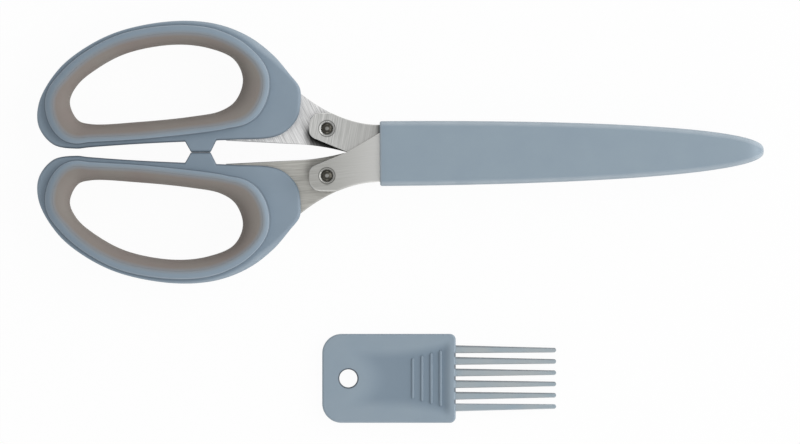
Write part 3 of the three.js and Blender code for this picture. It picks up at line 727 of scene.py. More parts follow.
def painted_upper_plate_shade(x, y):
    """Painted shade on a tail plate of the upper half: round the countersink, and the sheath's painted
    shadow at its mouth.
    """
    at_mouth = 1 - smooth_step(0, MOUTH_SHADOW_REACH, np.abs(x - MOUTH_X))
    return np.maximum(painted_rivet_ring_shade(x, y), MOUTH_SHADOW * at_mouth)


def cone_depth(x, y):
    """Depth of the countersink round the rivet: a cone down to a flat bottom."""
    from_rivet = np.hypot(x - RIVET_X, y - RIVET_SIDE)
    return np.clip(COUNTERSINK_SLOPE * (COUNTERSINK_RADIUS - from_rivet), 0, COUNTERSINK_DEPTH)


def blade_stations(low_line, high_line):
    """A column of places for a blade's sections: even ones, closer ones at rivet and ends, and each bend."""
    start, end = low_line[0, 0], BLADE_REACH
    places = np.concatenate([
        np.linspace(start, end, BLADE_STATIONS),
        np.linspace(RIVET_X - RIVET_ZONE, RIVET_X + RIVET_ZONE, RIVET_STATIONS),
        start + NEAR_ENDS,
        end - NEAR_ENDS,
        low_line[:, 0],
        high_line[:, 0],
    ])
    return np.unique(np.round(np.clip(places, start, end), STATION_DIGITS))[:, None]


def blade_shell(lines, sunk, painted_shade, columns):
    """A blade as cross sections from the tail to the tip.

    Each section is a bar between the lower and the upper edge with chamfered corners. In front of
    the heel its underside rises to the cutting edge over the width of the ground bevel. Where
    sunk is 1 or -1, a cone round the rivet is taken out of the top or the underside.
    """
    low_line, high_line = lines
    x = blade_stations(low_line, high_line)
    end_inset = BLADE_CHAMFER * np.isin(x, x[[0, -1]])
    low = np.interp(x, *low_line.T) + end_inset
    high = np.interp(x, *high_line.T) - end_inset
    half = BLADE_THICKNESS / 2 - end_inset
    inset = np.minimum(BLADE_CHAMFER, CHAMFER_SHARE * (high - low))
    knee = np.maximum(high - BEVEL_WIDTH, low + inset)
    ground = smooth_step(HEEL_FRONT - BEVEL_RUN_OUT, HEEL_FRONT, x)
    rise = ground * (BLADE_THICKNESS - EDGE_LAND)
    across = np.linspace(0, 1, columns)
    top_y = between(low + inset, high - inset, across)
    under_y = np.hstack([
        between(high - inset, knee, np.linspace(0, 1, BEVEL_COLUMNS)),
        between(knee, low + inset, across[1:]),
    ])
    up_bevel = np.clip((under_y - knee) / BEVEL_WIDTH, 0, 1)
    top_z = half - cone_depth(x, top_y) * (sunk > 0)
    under_z = rise * up_bevel - half + cone_depth(x, under_y) * (sunk < 0)
    side_z = half - inset
    y = np.hstack([top_y, high, high, under_y, low, low])
    z = np.hstack([top_z, side_z, np.minimum(rise - side_z, side_z), under_z, -side_z, side_z])
    # The mark is 1 on the sides and at the ends of the top and the underside
    edge = np.ones(y.shape[1])
    edge[1:columns - 1] = 0
    edge[columns + 3:-3] = 0
    bevel = np.zeros(y.shape)
    bevel[:, columns + 2:-2] = (up_bevel > 0) * ground
    return closed_shell(side_by_side(x, y, z, edge, bevel, painted_shade(x, y)), False)


# Turned pieces

def turned_grid(profile, steps=TURN_STEPS):
    """A profile of radius, height and edge mark, turned round Z."""
    angle = np.linspace(0, 2 * math.pi, steps, endpoint=False)
    radius, height, edge = (values[:, None] for values in np.array(profile, float).T)
    return side_by_side(radius * np.cos(angle), radius * np.sin(angle), height, edge)


def ring_shell(outer, inner, height):
    """A washer or spacer: a square section with chamfered corners, turned round Z."""
    half, c = height / 2, RING_CHAMFER
    lower = np.array([
        [inner, c - half, 1], [inner + c, -half, 1], [outer - c, -half, 1], [outer, c - half, 1],
    ])
    return closed_shell(turned_grid(np.vstack([lower, lower[::-1] * [1, -1, 1]])), True)


def rivet_shell():
    """A rivet with a domed head in the countersink at each end.

    The head is a quarter ellipse over its radius, with a painted highlight at its top through the
    edge mark; the lower end mirrors the upper one.
    """
    seat = LAST_LEVEL * PAIR_PITCH + BLADE_THICKNESS / 2 - COUNTERSINK_DEPTH
    angle = quarter_turn(DOME_STEPS)
    radius = np.maximum(RIVET_HEAD_RADIUS * np.cos(angle), POLE_RADIUS)
    highlight = smooth_step(*RIVET_HIGHLIGHT, np.sin(angle))
    head = side_by_side(radius, seat + RIVET_DOME * np.sin(angle), highlight)
    upper = np.vstack([[RIVET_RADIUS, seat - SHANK_STEP, 0], head])
    return closed_shell(turned_grid(np.vstack([upper[::-1] * [1, -1, 1], upper])), False)


def screw_shell():
    """The pivot screw: shank and slotted head turned round Z, with the slot pressed into the top."""
    top = HEAD_PLANE + PIVOT_HEAD_HEIGHT
    face_radius = PIVOT_HEAD_RADIUS - PIVOT_HEAD_ROUND
    face_edge = top - PIVOT_HEAD_ROUND
    angle = quarter_turn(SMALL_ARC)
    shank = [
        [POLE_RADIUS, -top, 0], [PIVOT_RADIUS, -top, 1],
        [PIVOT_RADIUS, HEAD_PLANE, 0], [PIVOT_HEAD_RADIUS, HEAD_PLANE, 1],
    ]
    shoulder = side_by_side(
        face_radius + PIVOT_HEAD_ROUND * np.cos(angle),
        face_edge + PIVOT_HEAD_ROUND * np.sin(angle),
        np.sin(2 * angle),
    )
    face = side_by_side(np.linspace(face_radius, POLE_RADIUS, SLOT_STEPS)[1:], top, 0.0)
    grid = turned_grid(np.vstack([shank, shoulder, face]), SLOT_TURN_STEPS)
    off_slot = np.abs(grid[..., 0] - grid[..., 1]) / math.sqrt(2)
    half_slot = PIVOT_SLOT_WIDTH / 2
    in_slot = 1 - smooth_step(half_slot - SLOT_ROUND, half_slot + SLOT_ROUND, off_slot)
    grid[..., 2] -= PIVOT_SLOT_DEPTH * in_slot * (grid[..., 2] > face_edge)
    return closed_shell(grid, False)


# Sheath

def rounded_sections(x, half_width, half_height, fillet, edge=0.0):
    """Rounded rectangles across X, one for each row of x: four quarter arcs joined by straight sides."""
    fillet = np.minimum(fillet, ROUND_SHARE * np.minimum(half_width, half_height))
    arcs = corner_arcs(half_width, half_height, [fillet] * 4, SECTION_ARC)
    ring = []
    for arc, following in zip(arcs, arcs[1:] + arcs[:1]):
        ring += [arc, between(arc[:, -1:], following[:, :1], SIDE_SHARES[:, None])]
    y, z, mark = np.moveaxis(np.concatenate(ring, axis=1), -1, 0)
    return side_by_side(x, y, z, np.maximum(mark, edge))


def tapered(share, powers):
    """1 at the mouth, falling to almost nothing at the tip: (1 - share to a power) to a power."""
    return np.maximum(1 - share ** powers[0], LEAST_SHARE) ** powers[1]


def sheath_shell():
    """The sheath: sections from its outer tip back to the mouth, round the lip and in to the inner tip.

    It sits a little askew on the blades, turned about its middle by a small angle.
    """
    inner_length = MOUTH_BACK + BLADE_REACH + SHEATH_TIP_GAP
    outer_length = inner_length + SHEATH_TIP_WALL
    inner_width = PACK_HALF_WIDTH + SHEATH_SIDE_GAP
    outer_width = inner_width + SHEATH_SIDE_WALL
    inner_height = HALF_HEIGHT - SHEATH_WALL
    share = 1 - (1 - np.linspace(0, 1, SHEATH_STEPS)[:, None]) ** STEP_CROWDING
    width, height = tapered(share, SHEATH_TAPER), tapered(share, SHEATH_NOSE)
    outside_x, inside_x = MOUTH_X + share * outer_length, MOUTH_X + share * inner_length
    outside = rounded_sections(outside_x, outer_width * width, HALF_HEIGHT * height, SHEATH_FILLET)[::-1]
    inside = rounded_sections(inside_x, inner_width * width, inner_height * height, SHEATH_FILLET / 2)
    angle = quarter_turn(SECTION_ARC)[:, None]
    over, down = 1 - np.cos(angle), 1 - np.sin(angle)
    lip_inset = np.vstack([MOUTH_OUTER_ROUND * over, SHEATH_WALL - MOUTH_INNER_ROUND * down])
    lip_depth = np.vstack([MOUTH_OUTER_ROUND * down, MOUTH_INNER_ROUND * over])
    # The outer round of the lip takes the edge mark: worn colour that also serves as a painted highlight
    # along the lip
    lip = rounded_sections(
        MOUTH_X + lip_depth,
        outer_width - lip_inset * SHEATH_SIDE_WALL / SHEATH_WALL,
        HALF_HEIGHT - lip_inset,
        SHEATH_FILLET - lip_inset,
        np.vstack([np.sin(2 * angle), 0 * angle]),
    )
    outside = outside[outside[:, 0, 0] > MOUTH_X + MOUTH_OUTER_ROUND]
    inside = inside[inside[:, 0, 0] > MOUTH_X + MOUTH_INNER_ROUND]
    grid = np.concatenate([outside, lip, inside])
    across = grid[..., 1].copy()
    grid[..., 1] += math.sin(SHEATH_YAW) * (grid[..., 0] - inner_length / 2 - MOUTH_X)
    grid[..., 0] -= math.sin(SHEATH_YAW) * across
    return closed_shell(grid, False)


# Comb

def comb_outline():
    """The comb plate's outline: a rectangle whose corners are quarter circles."""
    radii = (COMB_FRONT_CORNER, COMB_BACK_CORNER, COMB_BACK_CORNER, COMB_FRONT_CORNER)
    arcs = corner_arcs(COMB_LENGTH / 2, COMB_WIDTH / 2, radii, CORNER_ARC)
    return resampled(np.vstack(arcs)[:, :2] + [COMB_LENGTH / 2, 0], COMB_STEPS)


def scoop_depth(x, y):
    """Depth of the thumb scoop as a share of its greatest depth.

    Along the comb it deepens in a smooth S, further forward in the middle than at the wings, falls on
    gently and ends in a short wall. Its sides are smooth S curves too, and flare towards the front
    with the cube of the share of the way there.
    """
    end = COMB_LENGTH - SCOOP_END_WALL
    start = SCOOP_START - SCOOP_WINGS * np.clip(np.abs(y) / SCOOP_HALF, 0, 1) ** 2
    share = np.clip((x - start) / (end - start), 0, 1)
    floor = smooth_step(start - SCOOP_RUN, start + SCOOP_RUN, x) * between(SCOOP_START_SHARE, 1, share)
    side = SCOOP_HALF + SCOOP_FLARE * share**3
    crosswise = 1 - smooth_step(side - SCOOP_SIDE_RUN, side, np.abs(y))
    return floor * crosswise * (1 - smooth_step(end - SCOOP_END_RUN, end, x))


def notch_shade(outline, normal):
    """Painted shade on the front edge between the teeth, as a cosine of the teeth's pitch."""
    y = outline[:, 1]
    within = np.abs(y) < (TOOTH_COUNT - 1) / 2 * PAIR_PITCH
    wave = np.cos(2 * math.pi * y / PAIR_PITCH) * within
    return smooth_step(*NOTCH_SHADE_SPAN, wave) * (normal[:, 0] > FRONT_FACING)


def comb_plate_shell():
    """The comb's plate: a section carried round the hang hole.

    Each section runs from the hole across the top, which the scoop lowers, round the plate's edge
    and back across the underside, which is flat and has fewer rows.
    """
    outline = comb_outline()
    centre = np.array([COMB_HOLE_FRONT, 0.0])
    aim = unit(outline - centre)
    along = unit(np.roll(outline, -1, axis=0) - np.roll(outline, 1, axis=0))
    normal = side_by_side(along[:, 1], -along[:, 0])
    hole_edge = centre + aim * (COMB_HOLE_RADIUS + HOLE_LIP)
    plate_edge = outline - normal * COMB_EDGE_ROUND
    angle = quarter_turn(SMALL_ARC)
    share = np.linspace(0, 1, COMB_ROWS + 2)[1:-1]
    plan = np.concatenate([
        along_aim(hole_edge, aim, -HOLE_LIP * np.cos(angle)),
        between(hole_edge[:, None], plate_edge[:, None], share[:, None]),
        along_aim(plate_edge, normal, COMB_EDGE_ROUND * np.sin(angle)),
    ], axis=1)
    # The scoop's depth share also darkens the colour there as painted shade
    hollow = scoop_depth(plan[..., 0], plan[..., 1])
    none = 0 * share
    sunk = np.concatenate([HOLE_LIP * (1 - np.sin(angle)), none, COMB_EDGE_ROUND * (1 - np.cos(angle))])
    edge = np.concatenate([0 * angle, none, np.sin(2 * angle)])
    hole_shade = np.concatenate([HOLE_SHADE, none, 0 * angle])
    front_shade = np.concatenate([0 * angle, none, arc_shade(angle) ** NOTCH_SHADE_POWER])
    painted_shade = hole_shade + notch_shade(outline, normal)[:, None] * front_shade
    height = COMB_THICKNESS - sunk - SCOOP_DEPTH * hollow
    upper = side_by_side(plan[..., 0], plan[..., 1], height, edge, hollow, painted_shade)
    face_end = SMALL_ARC + COMB_ROWS
    keep = np.r_[0:SMALL_ARC, SMALL_ARC:face_end:UNDERSIDE_STRIDE, face_end:face_end + SMALL_ARC]
    lower = upper[:, keep]
    lower[..., 2] = sunk[keep]
    return closed_shell(np.concatenate([upper, lower[:, ::-1]], axis=1), True)


def bar_shell(stations, widths, middles, top, bottom, rounding, draft=0.0, hollow=0.0, painted_shade=0.0):
    """A bar along X: a rounded rectangle at each station, with its own width and middle line.

    Draft widens the section towards the bottom by that share of its width on the way down. The +Y
    side can take painted shade, and the bar can take the painted shade of a hollow.
    """
    half_height = (top - bottom) / 2
    widths = widths[:, None]
    grid = rounded_sections(stations[:, None], widths / 2, half_height, rounding)
    shaded = painted_shade * smooth_step(*TOOTH_SHADE_SPAN, 2 * grid[..., 1] / widths)
    grid[..., 1] *= 1 + draft * (1 - (grid[..., 2] + half_height) / (top - bottom))
    grid[..., 1] += middles[:, None]
    grid[..., 2] += (top + bottom) / 2
    return closed_shell(np.concatenate([grid, side_by_side(hollow, shaded)], axis=-1), False)


def rib_shells():
    """Grip ribs in the scoop: round-ended bars across it, each one shorter than the one before."""
    top = COMB_THICKNESS - RIB_SUNK
    angle = np.linspace(POINT_ANGLE, QUARTER, TIP_ARC)
    end_width = RIB_WIDTH * np.sin(angle)
    widths = np.concatenate([end_width, np.full(RIB_POINTS - 2, RIB_WIDTH), end_width[::-1]])
    shells = []
    for k in range(RIB_COUNT):
        half = (RIB_LENGTH - k * RIB_SHORTER) / 2
        end = half - RIB_WIDTH / 2 * (1 - np.cos(angle))
        plain = np.linspace(RIB_WIDTH / 2 - half, half - RIB_WIDTH / 2, RIB_POINTS)[1:-1]
        stations = np.concatenate([-end, plain, end[::-1]])
        rib = bar_shell(stations, widths, 0 * widths, top, top - SCOOP_DEPTH, RIB_ROUND, hollow=RIB_HOLLOW_SHADE)
        # Turned from along X to across it
        rib[0][:, :2] = rib[0][:, [1, 0]] * [-1, 1]
        shells.append(moved(rib, COMB_PLACE + [COMB_LENGTH - RIB_FRONT - k * RIB_PITCH, 0, 0]))
    return shells


def tooth_shells():
    """Comb teeth: bars that narrow to a round tip and draw slightly together."""
    start = COMB_LENGTH - TOOTH_BURIED
    tip_start = COMB_LENGTH + TOOTH_LENGTH - TOOTH_TIP / 2
    angle = np.linspace(0, QUARTER - POINT_ANGLE, TIP_ARC)[1:]
    share = np.concatenate([np.linspace(0, 1, TOOTH_POINTS), np.ones(len(angle))])
    stations = between(start, tip_start, share)
    stations[TOOTH_POINTS:] += TOOTH_TIP / 2 * np.sin(angle)
    widths = between(TOOTH_ROOT, TOOTH_TIP, share)
    widths[TOOTH_POINTS:] *= np.cos(angle)
    pitch = between(PAIR_PITCH, TOOTH_TIP_PITCH, share)
    top = (COMB_THICKNESS + TOOTH_THICKNESS) / 2
    bottom = (COMB_THICKNESS - TOOTH_THICKNESS) / 2
    shells = []
    for k in range(TOOTH_COUNT):
        middles = (k - (TOOTH_COUNT - 1) / 2) * pitch
        # Every tooth after the first gets painted shade along its +Y side
        painted_shade = TOOTH_SHADE * (k > 0)
        tooth = bar_shell(stations, widths, middles, top, bottom, TOOTH_ROUND, TOOTH_DRAFT, painted_shade=painted_shade)
        shells.append(moved(tooth, COMB_PLACE))
    return shells


# Shader nodes

VECTOR, COLOUR, VALUE = "NodeSocketVector", "NodeSocketColor", "NodeSocketFloat"


def feed(tree, socket, value):
    """Sets a socket to a value, or links it to the socket that feeds it."""
    if isinstance(value, bpy.types.NodeSocket):
        tree.links.new(value, socket)
    else:
        socket.default_value = value


def feed_all(tree, sockets, **values):
    """Feeds sockets by their names, with an underscore for each space."""
    for name, value in values.items():
        feed(tree, sockets[name.replace("_", " ")], value)


def add_node(tree, kind, settings=None, **inputs):
    """A node with its settings and inputs."""
    made = tree.nodes.new(kind)
    for name, value in (settings or {}).items():
        setattr(made, name, value)
    feed_all(tree, made.inputs, **inputs)
    return made


def maths(tree, operation, a, b):
    """Result of an operation on two values."""
    made = add_node(tree, "ShaderNodeMath", {"operation": operation})
    feed(tree, made.inputs[0], a)
    feed(tree, made.inputs[1], b)
    return made.outputs[0]


def mixed_colour(tree, share, a, b):
    """Colour at a share of the way from a to b, through the node's sockets for colours."""
    made = add_node(tree, "ShaderNodeMix", {"data_type": "RGBA"})
    feed(tree, made.inputs[0], share)
    feed(tree, made.inputs[6], a)
    feed(tree, made.inputs[7], b)
    return made.outputs[2]


def ranged(tree, value, span, to=(0.0, 1.0)):
    """A value stretched from one span to another and clamped there."""
    made = add_node(
        tree, "ShaderNodeMapRange", Value=value,
        From_Min=span[0], From_Max=span[1], To_Min=to[0], To_Max=to[1],
    )
    return made.outputs["Result"]


def noise(tree, position, scale, detail):
    """Value of a noise pattern."""
    return add_node(tree, "ShaderNodeTexNoise", Vector=position, Scale=scale, Detail=detail).outputs[0]


def new_group(name, inputs, outputs):
    """An empty shader group with named sockets, and the sockets inside it that give and take values."""
    tree = bpy.data.node_groups.new(name, "ShaderNodeTree")
    for in_out, sockets in (("INPUT", inputs), ("OUTPUT", outputs)):
        for socket, kind in sockets.items():
            tree.interface.new_socket(name=socket, in_out=in_out, socket_type=kind)
    return tree, tree.nodes.new("NodeGroupInput").outputs, tree.nodes.new("NodeGroupOutput").inputs


def moulded_grain_group():
    """Moulded surface: broad patches in colour and gloss, and a fine erosion grain as height."""
    tree, given, result = new_group(
        "moulded_grain",
        {"Position": VECTOR, "Colour": COLOUR, "Patch Colour": COLOUR, "Patch Scale": VALUE,
         "Grain Scale": VALUE, "Roughness": VALUE},
        {"Colour": COLOUR, "Roughness": VALUE, "Height": VALUE},
    )
    patches = noise(tree, given["Position"], given["Patch Scale"], detail=3.0)
    grain = noise(tree, given["Position"], given["Grain Scale"], detail=2.0)
    colour = mixed_colour(tree, ranged(tree, patches, NOISE_SPAN), given["Colour"], given["Patch Colour"])
    rough = maths(tree, "ADD", given["Roughness"], ranged(tree, patches, NOISE_SPAN, GLOSS_CHANGE))
    rough = maths(tree, "ADD", rough, ranged(tree, grain, NOISE_SPAN, GLOSS_CHANGE))
    feed_all(tree, result, Colour=colour, Roughness=rough, Height=grain)
    return tree


def edge_wear_group():
    """Rubbed edges: the edge mark, broken up by noise, mixes in the worn colour."""
    tree, given, result = new_group(
        "edge_wear",
        {"Position": VECTOR, "Edge": VALUE, "Colour": COLOUR, "Worn Colour": COLOUR, "Amount": VALUE,
         "Break Scale": VALUE},
        {"Colour": COLOUR},
    )
    breaks = noise(tree, given["Position"], given["Break Scale"], detail=4.0)
    broken = ranged(tree, breaks, NOISE_SPAN, WEAR_BREAKS)
    worn = maths(tree, "MULTIPLY", maths(tree, "MULTIPLY", broken, given["Edge"]), given["Amount"])
    feed_all(tree, result, Colour=mixed_colour(tree, worn, given["Colour"], given["Worn Colour"]))
    return tree


def brushed_group():
    """Brushed metal: noise drawn out along X in fine and coarse scratches."""
    tree, given, result = new_group(
        "brushed_metal",
        {"Position": VECTOR, "Dark": COLOUR, "Light": COLOUR, "Coarse Scale": VALUE, "Fine Scale": VALUE,
         "Roughness": VALUE},
        {"Colour": COLOUR, "Roughness": VALUE, "Height": VALUE},
    )
    drawn = add_node(tree, "ShaderNodeVectorMath", {"operation": "MULTIPLY"})
    feed(tree, drawn.inputs[0], given["Position"])
    feed(tree, drawn.inputs[1], SCRATCH_STRETCH)
    coarse = noise(tree, drawn.outputs[0], given["Coarse Scale"], detail=2.0)
    fine = noise(tree, drawn.outputs[0], given["Fine Scale"], detail=3.0)
    coarse_part = maths(tree, "MULTIPLY", coarse, COARSE_SHARE)
    lines = maths(tree, "ADD", coarse_part, maths(tree, "MULTIPLY", fine, 1 - COARSE_SHARE))
    colour = mixed_colour(tree, ranged(tree, lines, LINE_SPAN), given["Dark"], given["Light"])
    rough = maths(tree, "ADD", given["Roughness"], ranged(tree, lines, LINE_SPAN, LINE_GLOSS_CHANGE))
    feed_all(tree, result, Colour=colour, Roughness=rough, Height=lines)
    return tree


GRAIN_GROUP = moulded_grain_group()
WEAR_GROUP = edge_wear_group()
BRUSHED_GROUP = brushed_group()


# Materials

def colour_of(rgb):
    """A colour written as 0 to 255, as the linear values that a shader takes."""
    shares = np.array(rgb) / 255
    linear = np.where(shares <= 0.04045, shares / 12.92, ((shares + 0.055) / 1.055) ** 2.4)
    return (*linear.tolist(), 1.0)


def new_material(name):
    """A material with only its output node, its tree and that node."""
    material = bpy.data.materials.new(name)
    material.use_nodes = True
    tree = material.node_tree
    tree.nodes.clear()
    return material, tree, tree.nodes.new("ShaderNodeOutputMaterial")


def place_of(tree):
    """The socket that gives the place on the object."""
    return add_node(tree, "ShaderNodeTexCoord").outputs["Object"]


def mark_of(tree, name):
    """The socket that reads one of a piece's marks."""
    return add_node(tree, "ShaderNodeAttribute", {"attribute_name": name}).outputs["Fac"]


def group_in(tree, group, **inputs):
    """The outputs of a group that is placed with its inputs."""
    return add_node(tree, "ShaderNodeGroup", {"node_tree": group}, **inputs).outputs


def moulded(name, colour, patch, worn, roughness=0.42, grain_scale=5200.0, bump=0.08, wear=0.5,
            seam_colour=None, hollow_shade_colour=None):
    """Moulded plastic or rubber: patches, grain, rubbed edges and, where asked, a soft seam or hollow.

    The seam mark is the distance from the seam in millimetres; half of the neighbour's colour is
    mixed in at the seam and fades out within a millimetre or so. A hollow is darker by its depth,
    which is painted shade, and the painted shade mark darkens crevices and gaps with painted shade.
    """
    material, tree, output = new_material(name)
    place = place_of(tree)
    grain = group_in(
        tree, GRAIN_GROUP, Position=place, Colour=colour_of(colour), Patch_Colour=colour_of(patch),
        Patch_Scale=PATCH_SCALE, Grain_Scale=grain_scale, Roughness=roughness,
    )
    shade = grain["Colour"]
    if seam_colour:
        blend = ranged(tree, mark_of(tree, "seam"), (0.0, SEAM_BLEND), (SEAM_SHARE, 0.0))
        shade = mixed_colour(tree, blend, shade, colour_of(seam_colour))
    if hollow_shade_colour:
        shade = mixed_colour(tree, mark_of(tree, "hollow"), shade, colour_of(hollow_shade_colour))
    shade = mixed_colour(tree, mark_of(tree, "painted_shade"), shade, colour_of(PAINTED_SHADE_COLOUR))
    rubbed = group_in(
        tree, WEAR_GROUP, Position=place, Edge=mark_of(tree, "edge"), Colour=shade,
        Worn_Colour=colour_of(worn), Amount=wear, Break_Scale=PLASTIC_BREAK_SCALE,
    )
    relief = add_node(tree, "ShaderNodeBump", Height=grain["Height"], Strength=bump, Distance=GRAIN_RELIEF)
    surface = add_node(
        tree, "ShaderNodeBsdfPrincipled", Base_Color=rubbed["Colour"], Roughness=grain["Roughness"],
        Normal=relief.outputs["Normal"], IOR=PLASTIC_IOR,
    )
    feed_all(tree, output.inputs, Surface=surface.outputs[0])
    return material


def steel(name, dark, light, angle, coarse, fine, roughness, front=None, painted_shade=1.0):
    """Brushed steel whose scratches run at an angle to X, with bright rubbed edges.

    The ground bevel is brighter, the shade mark darkens with painted shade and painted shadow, and a
    front colour comes in towards the sheath.
    """
    material, tree, output = new_material(name)
    place = place_of(tree)
    turned = add_node(tree, "ShaderNodeMapping", Vector=place, Rotation=(0.0, 0.0, -math.radians(angle)))
    brushed = group_in(
        tree, BRUSHED_GROUP, Position=turned.outputs[0], Dark=colour_of(dark), Light=colour_of(light),
        Coarse_Scale=coarse, Fine_Scale=fine, Roughness=roughness,
    )
    shade = brushed["Colour"]
    if front:
        along = add_node(tree, "ShaderNodeSeparateXYZ", Vector=place).outputs["X"]
        share = ranged(tree, along, (RIVET_X * MM, MOUTH_X * MM), (0.0, FRONT_SHARE))
        shade = mixed_colour(tree, share, shade, colour_of(front))
    bevel = maths(tree, "MULTIPLY", mark_of(tree, "bevel"), BEVEL_SHARE)
    shade = mixed_colour(tree, bevel, shade, colour_of(BEVEL_STEEL))
    rubbed = group_in(
        tree, WEAR_GROUP, Position=place, Edge=mark_of(tree, "edge"), Colour=shade,
        Worn_Colour=colour_of(WORN_STEEL), Amount=STEEL_WEAR, Break_Scale=STEEL_BREAK_SCALE,
    )
    # Painted shade and painted shadow from the blade's shade mark
    shaded = maths(tree, "MULTIPLY", mark_of(tree, "shade"), painted_shade)
    shade = mixed_colour(tree, shaded, rubbed["Colour"], colour_of(PAINTED_STEEL_SHADE))
    relief = add_node(
        tree, "ShaderNodeBump", Height=brushed["Height"], Strength=SCRATCH_BUMP, Distance=SCRATCH_RELIEF,
    )
    surface = add_node(
        tree, "ShaderNodeBsdfPrincipled", Base_Color=shade, Metallic=1.0, Roughness=brushed["Roughness"],
        Normal=relief.outputs["Normal"],
    )
    feed_all(tree, output.inputs, Surface=surface.outputs[0])
    return material


handle_plastic = moulded(
    "handle_plastic", BLUE, patch=(132, 148, 162), worn=(170, 182, 191),
    roughness=0.5, bump=0.12, seam_colour=TAUPE,
)
grip_rubber = moulded(
    "grip_rubber", TAUPE, patch=(134, 125, 120), worn=(148, 145, 138),
    roughness=0.75, grain_scale=4200.0, bump=0.25, seam_colour=BLUE,
)
sheath_plastic = moulded(
    "sheath_plastic", (143, 159, 171), patch=(139, 155, 168), worn=(190, 199, 206),
)
comb_plastic = moulded(
    "comb_plastic", (144, 159, 171), patch=(140, 156, 169), worn=(162, 175, 184),
    wear=0.12, hollow_shade_colour=HOLLOW_SHADE,
)
tooth_plastic = moulded(
    "tooth_plastic", (150, 166, 176), patch=(168, 175, 178), worn=(176, 184, 190), hollow_shade_colour=HOLLOW_SHADE,
)
upper_tang_steel = steel(
    "upper_tang_steel", dark=(172, 172, 172), light=(234, 234, 234),
    angle=-63, coarse=4200.0, fine=9000.0, roughness=0.4,
)
upper_plate_steel = steel(
    "upper_plate_steel", dark=(152, 153, 151), light=(202, 202, 200),
    angle=80, coarse=3000.0, fine=8000.0, roughness=0.38, front=(160, 160, 158),
)
lower_tang_steel = steel(
    "lower_tang_steel", dark=(150, 149, 144), light=(178, 177, 172),
    angle=4, coarse=3200.0, fine=8000.0, roughness=0.38, painted_shade=0.4,
)
lower_plate_steel = steel(
    "lower_plate_steel", dark=(148, 148, 144), light=(168, 168, 165),
    angle=6, coarse=3600.0, fine=9000.0, roughness=0.36, front=(192, 192, 190),
)
fastener_steel = steel(
    "fastener_steel", dark=(150, 148, 142), light=(184, 182, 177),
    angle=30, coarse=2600.0, fine=7000.0, roughness=0.32,
)
# The rivets' dark colours stand in for the dark surroundings that their domes reflect: a painted reflection
rivet_steel = steel(
    "rivet_steel", dark=(46, 45, 41), light=(80, 78, 72),
    angle=30, coarse=1200.0, fine=5000.0, roughness=0.22,
)


# The object

HANDLE_MARKS = ("edge", "seam", "painted_shade")
BLADE_MARKS = ("edge", "bevel", "shade")
COMB_MARKS = ("edge", "hollow", "painted_shade")
TURNED_MARKS = ("edge",)

handle = handle_shell()
grip = grip_shell()
rivet = moved(rivet_shell(), (RIVET_X, RIVET_SIDE, -BLADE_DROP))
rivet_bore = RIVET_RADIUS + BORE_GAP
spacer = ring_shell(rivet_bore + SPACER_WALL, rivet_bore, PAIR_PITCH - BLADE_THICKNESS)

# For each half: the shift of its neck's outer edge, its plates' painted shade, and the steels of plates and
# tang
HALVES = {
    "upper": (-NECK_LEAN, painted_upper_plate_shade, upper_plate_steel, upper_tang_steel),
    "lower": (NECK_LEAN, painted_rivet_ring_shade, lower_plate_steel, lower_tang_steel),
}

for side, (lean, plate_shade, plate_steel, tang_steel) in HALVES.items():
    half_piece(side, "handle", handle, HANDLE_MARKS, handle_plastic)
    half_piece(side, "grip", grip, HANDLE_MARKS, grip_rubber)
    for k in range(PAIR_COUNT):
        level = k - LAST_LEVEL
        if level == 0:
            blade = blade_shell(tang_lines(lean), 0, painted_tail_shadow, FACE_COLUMNS)
        elif abs(level) == LAST_LEVEL:
            blade = blade_shell(plain_lines(lean), level, plate_shade, FACE_COLUMNS)
        else:
            blade = blade_shell(plain_lines(lean), 0, plate_shade, PLAIN_COLUMNS)
        blade = moved(blade, (0, 0, level * PAIR_PITCH - BLADE_DROP))
        blade_steel = plate_steel if level else tang_steel
        half_piece(side, "blade", blade, BLADE_MARKS, blade_steel, f"_{k + 1}", BLADE_SHARP)
    for k in range(PAIR_COUNT - 1):
        height = (k + 0.5 - LAST_LEVEL) * PAIR_PITCH - BLADE_DROP
        placed = moved(spacer, (RIVET_X, RIVET_SIDE, height))
        half_piece(side, "spacer", placed, TURNED_MARKS, fastener_steel, f"_{k + 1}")
    half_piece(side, "rivet", rivet, TURNED_MARKS, rivet_steel)

pivot_bore = PIVOT_RADIUS + BORE_GAP
nut = ring_shell(PIVOT_HEAD_RADIUS, pivot_bore, PIVOT_HEAD_HEIGHT)
washer = ring_shell(WASHER_RADIUS, pivot_bore, PAIR_PITCH - 2 * BLADE_THICKNESS - 2 * RUNNING_GAP)
pivot_pieces = {"screw": screw_shell(), "nut": moved(nut, (0, 0, -HEAD_PLANE - PIVOT_HEAD_HEIGHT / 2))}
for k in range(PAIR_COUNT - 1):
    pivot_pieces[f"washer_{k + 1}"] = moved(washer, (0, 0, (k + 1 - PAIR_COUNT / 2) * PAIR_PITCH))
for name, shell in pivot_pieces.items():
    shells = [on_side(shell, "upper")]
    piece(name, shells, TURNED_MARKS, fastener_steel, "pivot", [f"pivot_{name}"])

sheath_shells = [on_side(sheath_shell(), "upper")]
piece("blade_sheath", sheath_shells, TURNED_MARKS, sheath_plastic, "sheath", ["sheath"])
plate_shells = [moved(comb_plate_shell(), COMB_PLACE)]
piece("comb_plate", plate_shells, COMB_MARKS, comb_plastic, "comb", ["comb"])
piece("comb_ribs", rib_shells(), COMB_MARKS, comb_plastic, "comb")
piece("comb_teeth", tooth_shells(), COMB_MARKS, tooth_plastic, "comb")


# Stage, light and camera

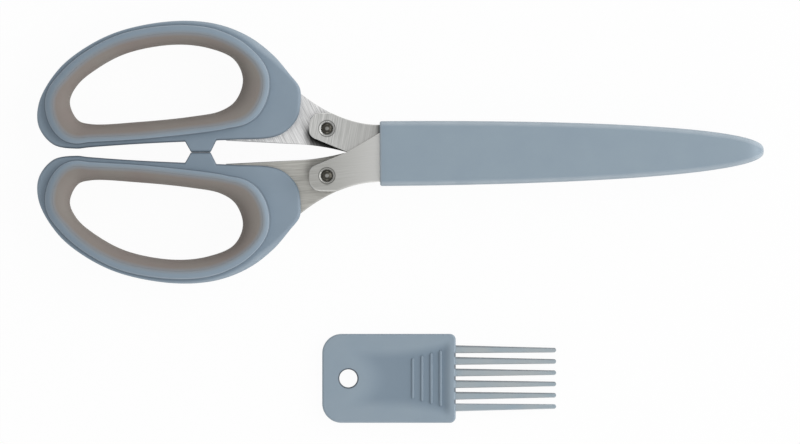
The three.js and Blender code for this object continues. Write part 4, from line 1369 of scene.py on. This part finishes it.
def whitened(tree, plain, white, share, output):
    """Feeds an output with a plain shader, mixed by a share with white where it is seen.

    It is seen by the camera, in reflections and through the object; as light it stays plain.
    """
    path = add_node(tree, "ShaderNodeLightPath").outputs
    seen = maths(tree, "MAXIMUM", path["Is Camera Ray"], path["Is Glossy Ray"])
    seen = maths(tree, "MAXIMUM", seen, path["Is Transmission Ray"])
    both = add_node(tree, "ShaderNodeMixShader")
    feed(tree, both.inputs[0], maths(tree, "MULTIPLY", seen, share))
    feed(tree, both.inputs[1], plain.outputs[0])
    feed(tree, both.inputs[2], white.outputs[0])
    feed_all(tree, output.inputs, Surface=both.outputs[0])


floor_mesh = bpy.data.meshes.new("floor")
floor_corners = FLOOR_HALF * np.array([[-1, -1, 0], [1, -1, 0], [1, 1, 0], [-1, 1, 0]])
floor_mesh.from_pydata(floor_corners.tolist(), [], [(0, 1, 2, 3)])
floor = bpy.data.objects.new("floor", floor_mesh)
bpy.context.scene.collection.objects.link(floor)

WHITE = (1.0, 1.0, 1.0, 1.0)
floor_paper, tree, output = new_material("floor_paper")
paper = add_node(tree, "ShaderNodeBsdfDiffuse", Color=(FLOOR_GREY, FLOOR_GREY, FLOOR_GREY, 1.0))
glow = add_node(tree, "ShaderNodeEmission", Color=WHITE, Strength=1.0)
whitened(tree, paper, glow, FLOOR_WHITE, output)
floor_mesh.materials.append(floor_paper)

world = bpy.data.worlds.new("studio")
world.use_nodes = True
bpy.context.scene.world = world
tree = world.node_tree
tree.nodes.clear()
dim = add_node(tree, "ShaderNodeBackground", Color=WHITE, Strength=WORLD_LEVEL)
bright = add_node(tree, "ShaderNodeBackground", Color=WHITE, Strength=1.0)
whitened(tree, dim, bright, 1.0, add_node(tree, "ShaderNodeOutputWorld"))


def soft_light(name, place, size, power):
    """A square soft box at a place, pointing at the aim of all the lights."""
    lamp = bpy.data.lights.new(name, "AREA")
    lamp.size = size
    lamp.energy = power
    made = bpy.data.objects.new(name, lamp)
    x, y, z = np.array(place) - LIGHT_AIM
    made.location = place
    made.rotation_euler = (math.atan2(math.hypot(x, y), z), 0, math.atan2(x, -y))
    bpy.context.scene.collection.objects.link(made)


soft_light("key", place=(0.7, 0.1, 0.52), size=1.0, power=6.0)
soft_light("near_side", place=(0.0, -0.85, 0.3), size=0.5, power=1.45)
soft_light("far_side", place=(0.0, 0.9, 0.35), size=0.5, power=1.0)

lens = bpy.data.cameras.new("camera")
lens.sensor_width = SENSOR
lens.lens = SENSOR * (CAMERA_HEIGHT - HALF_HEIGHT * MM) / VIEW_WIDTH
camera = bpy.data.objects.new("camera", lens)
camera.location = (0.0, VIEW_CENTRE_Y, CAMERA_HEIGHT)
bpy.context.scene.collection.objects.link(camera)
bpy.context.scene.camera = camera
bpy.context.scene.view_settings.view_transform = "Standard"
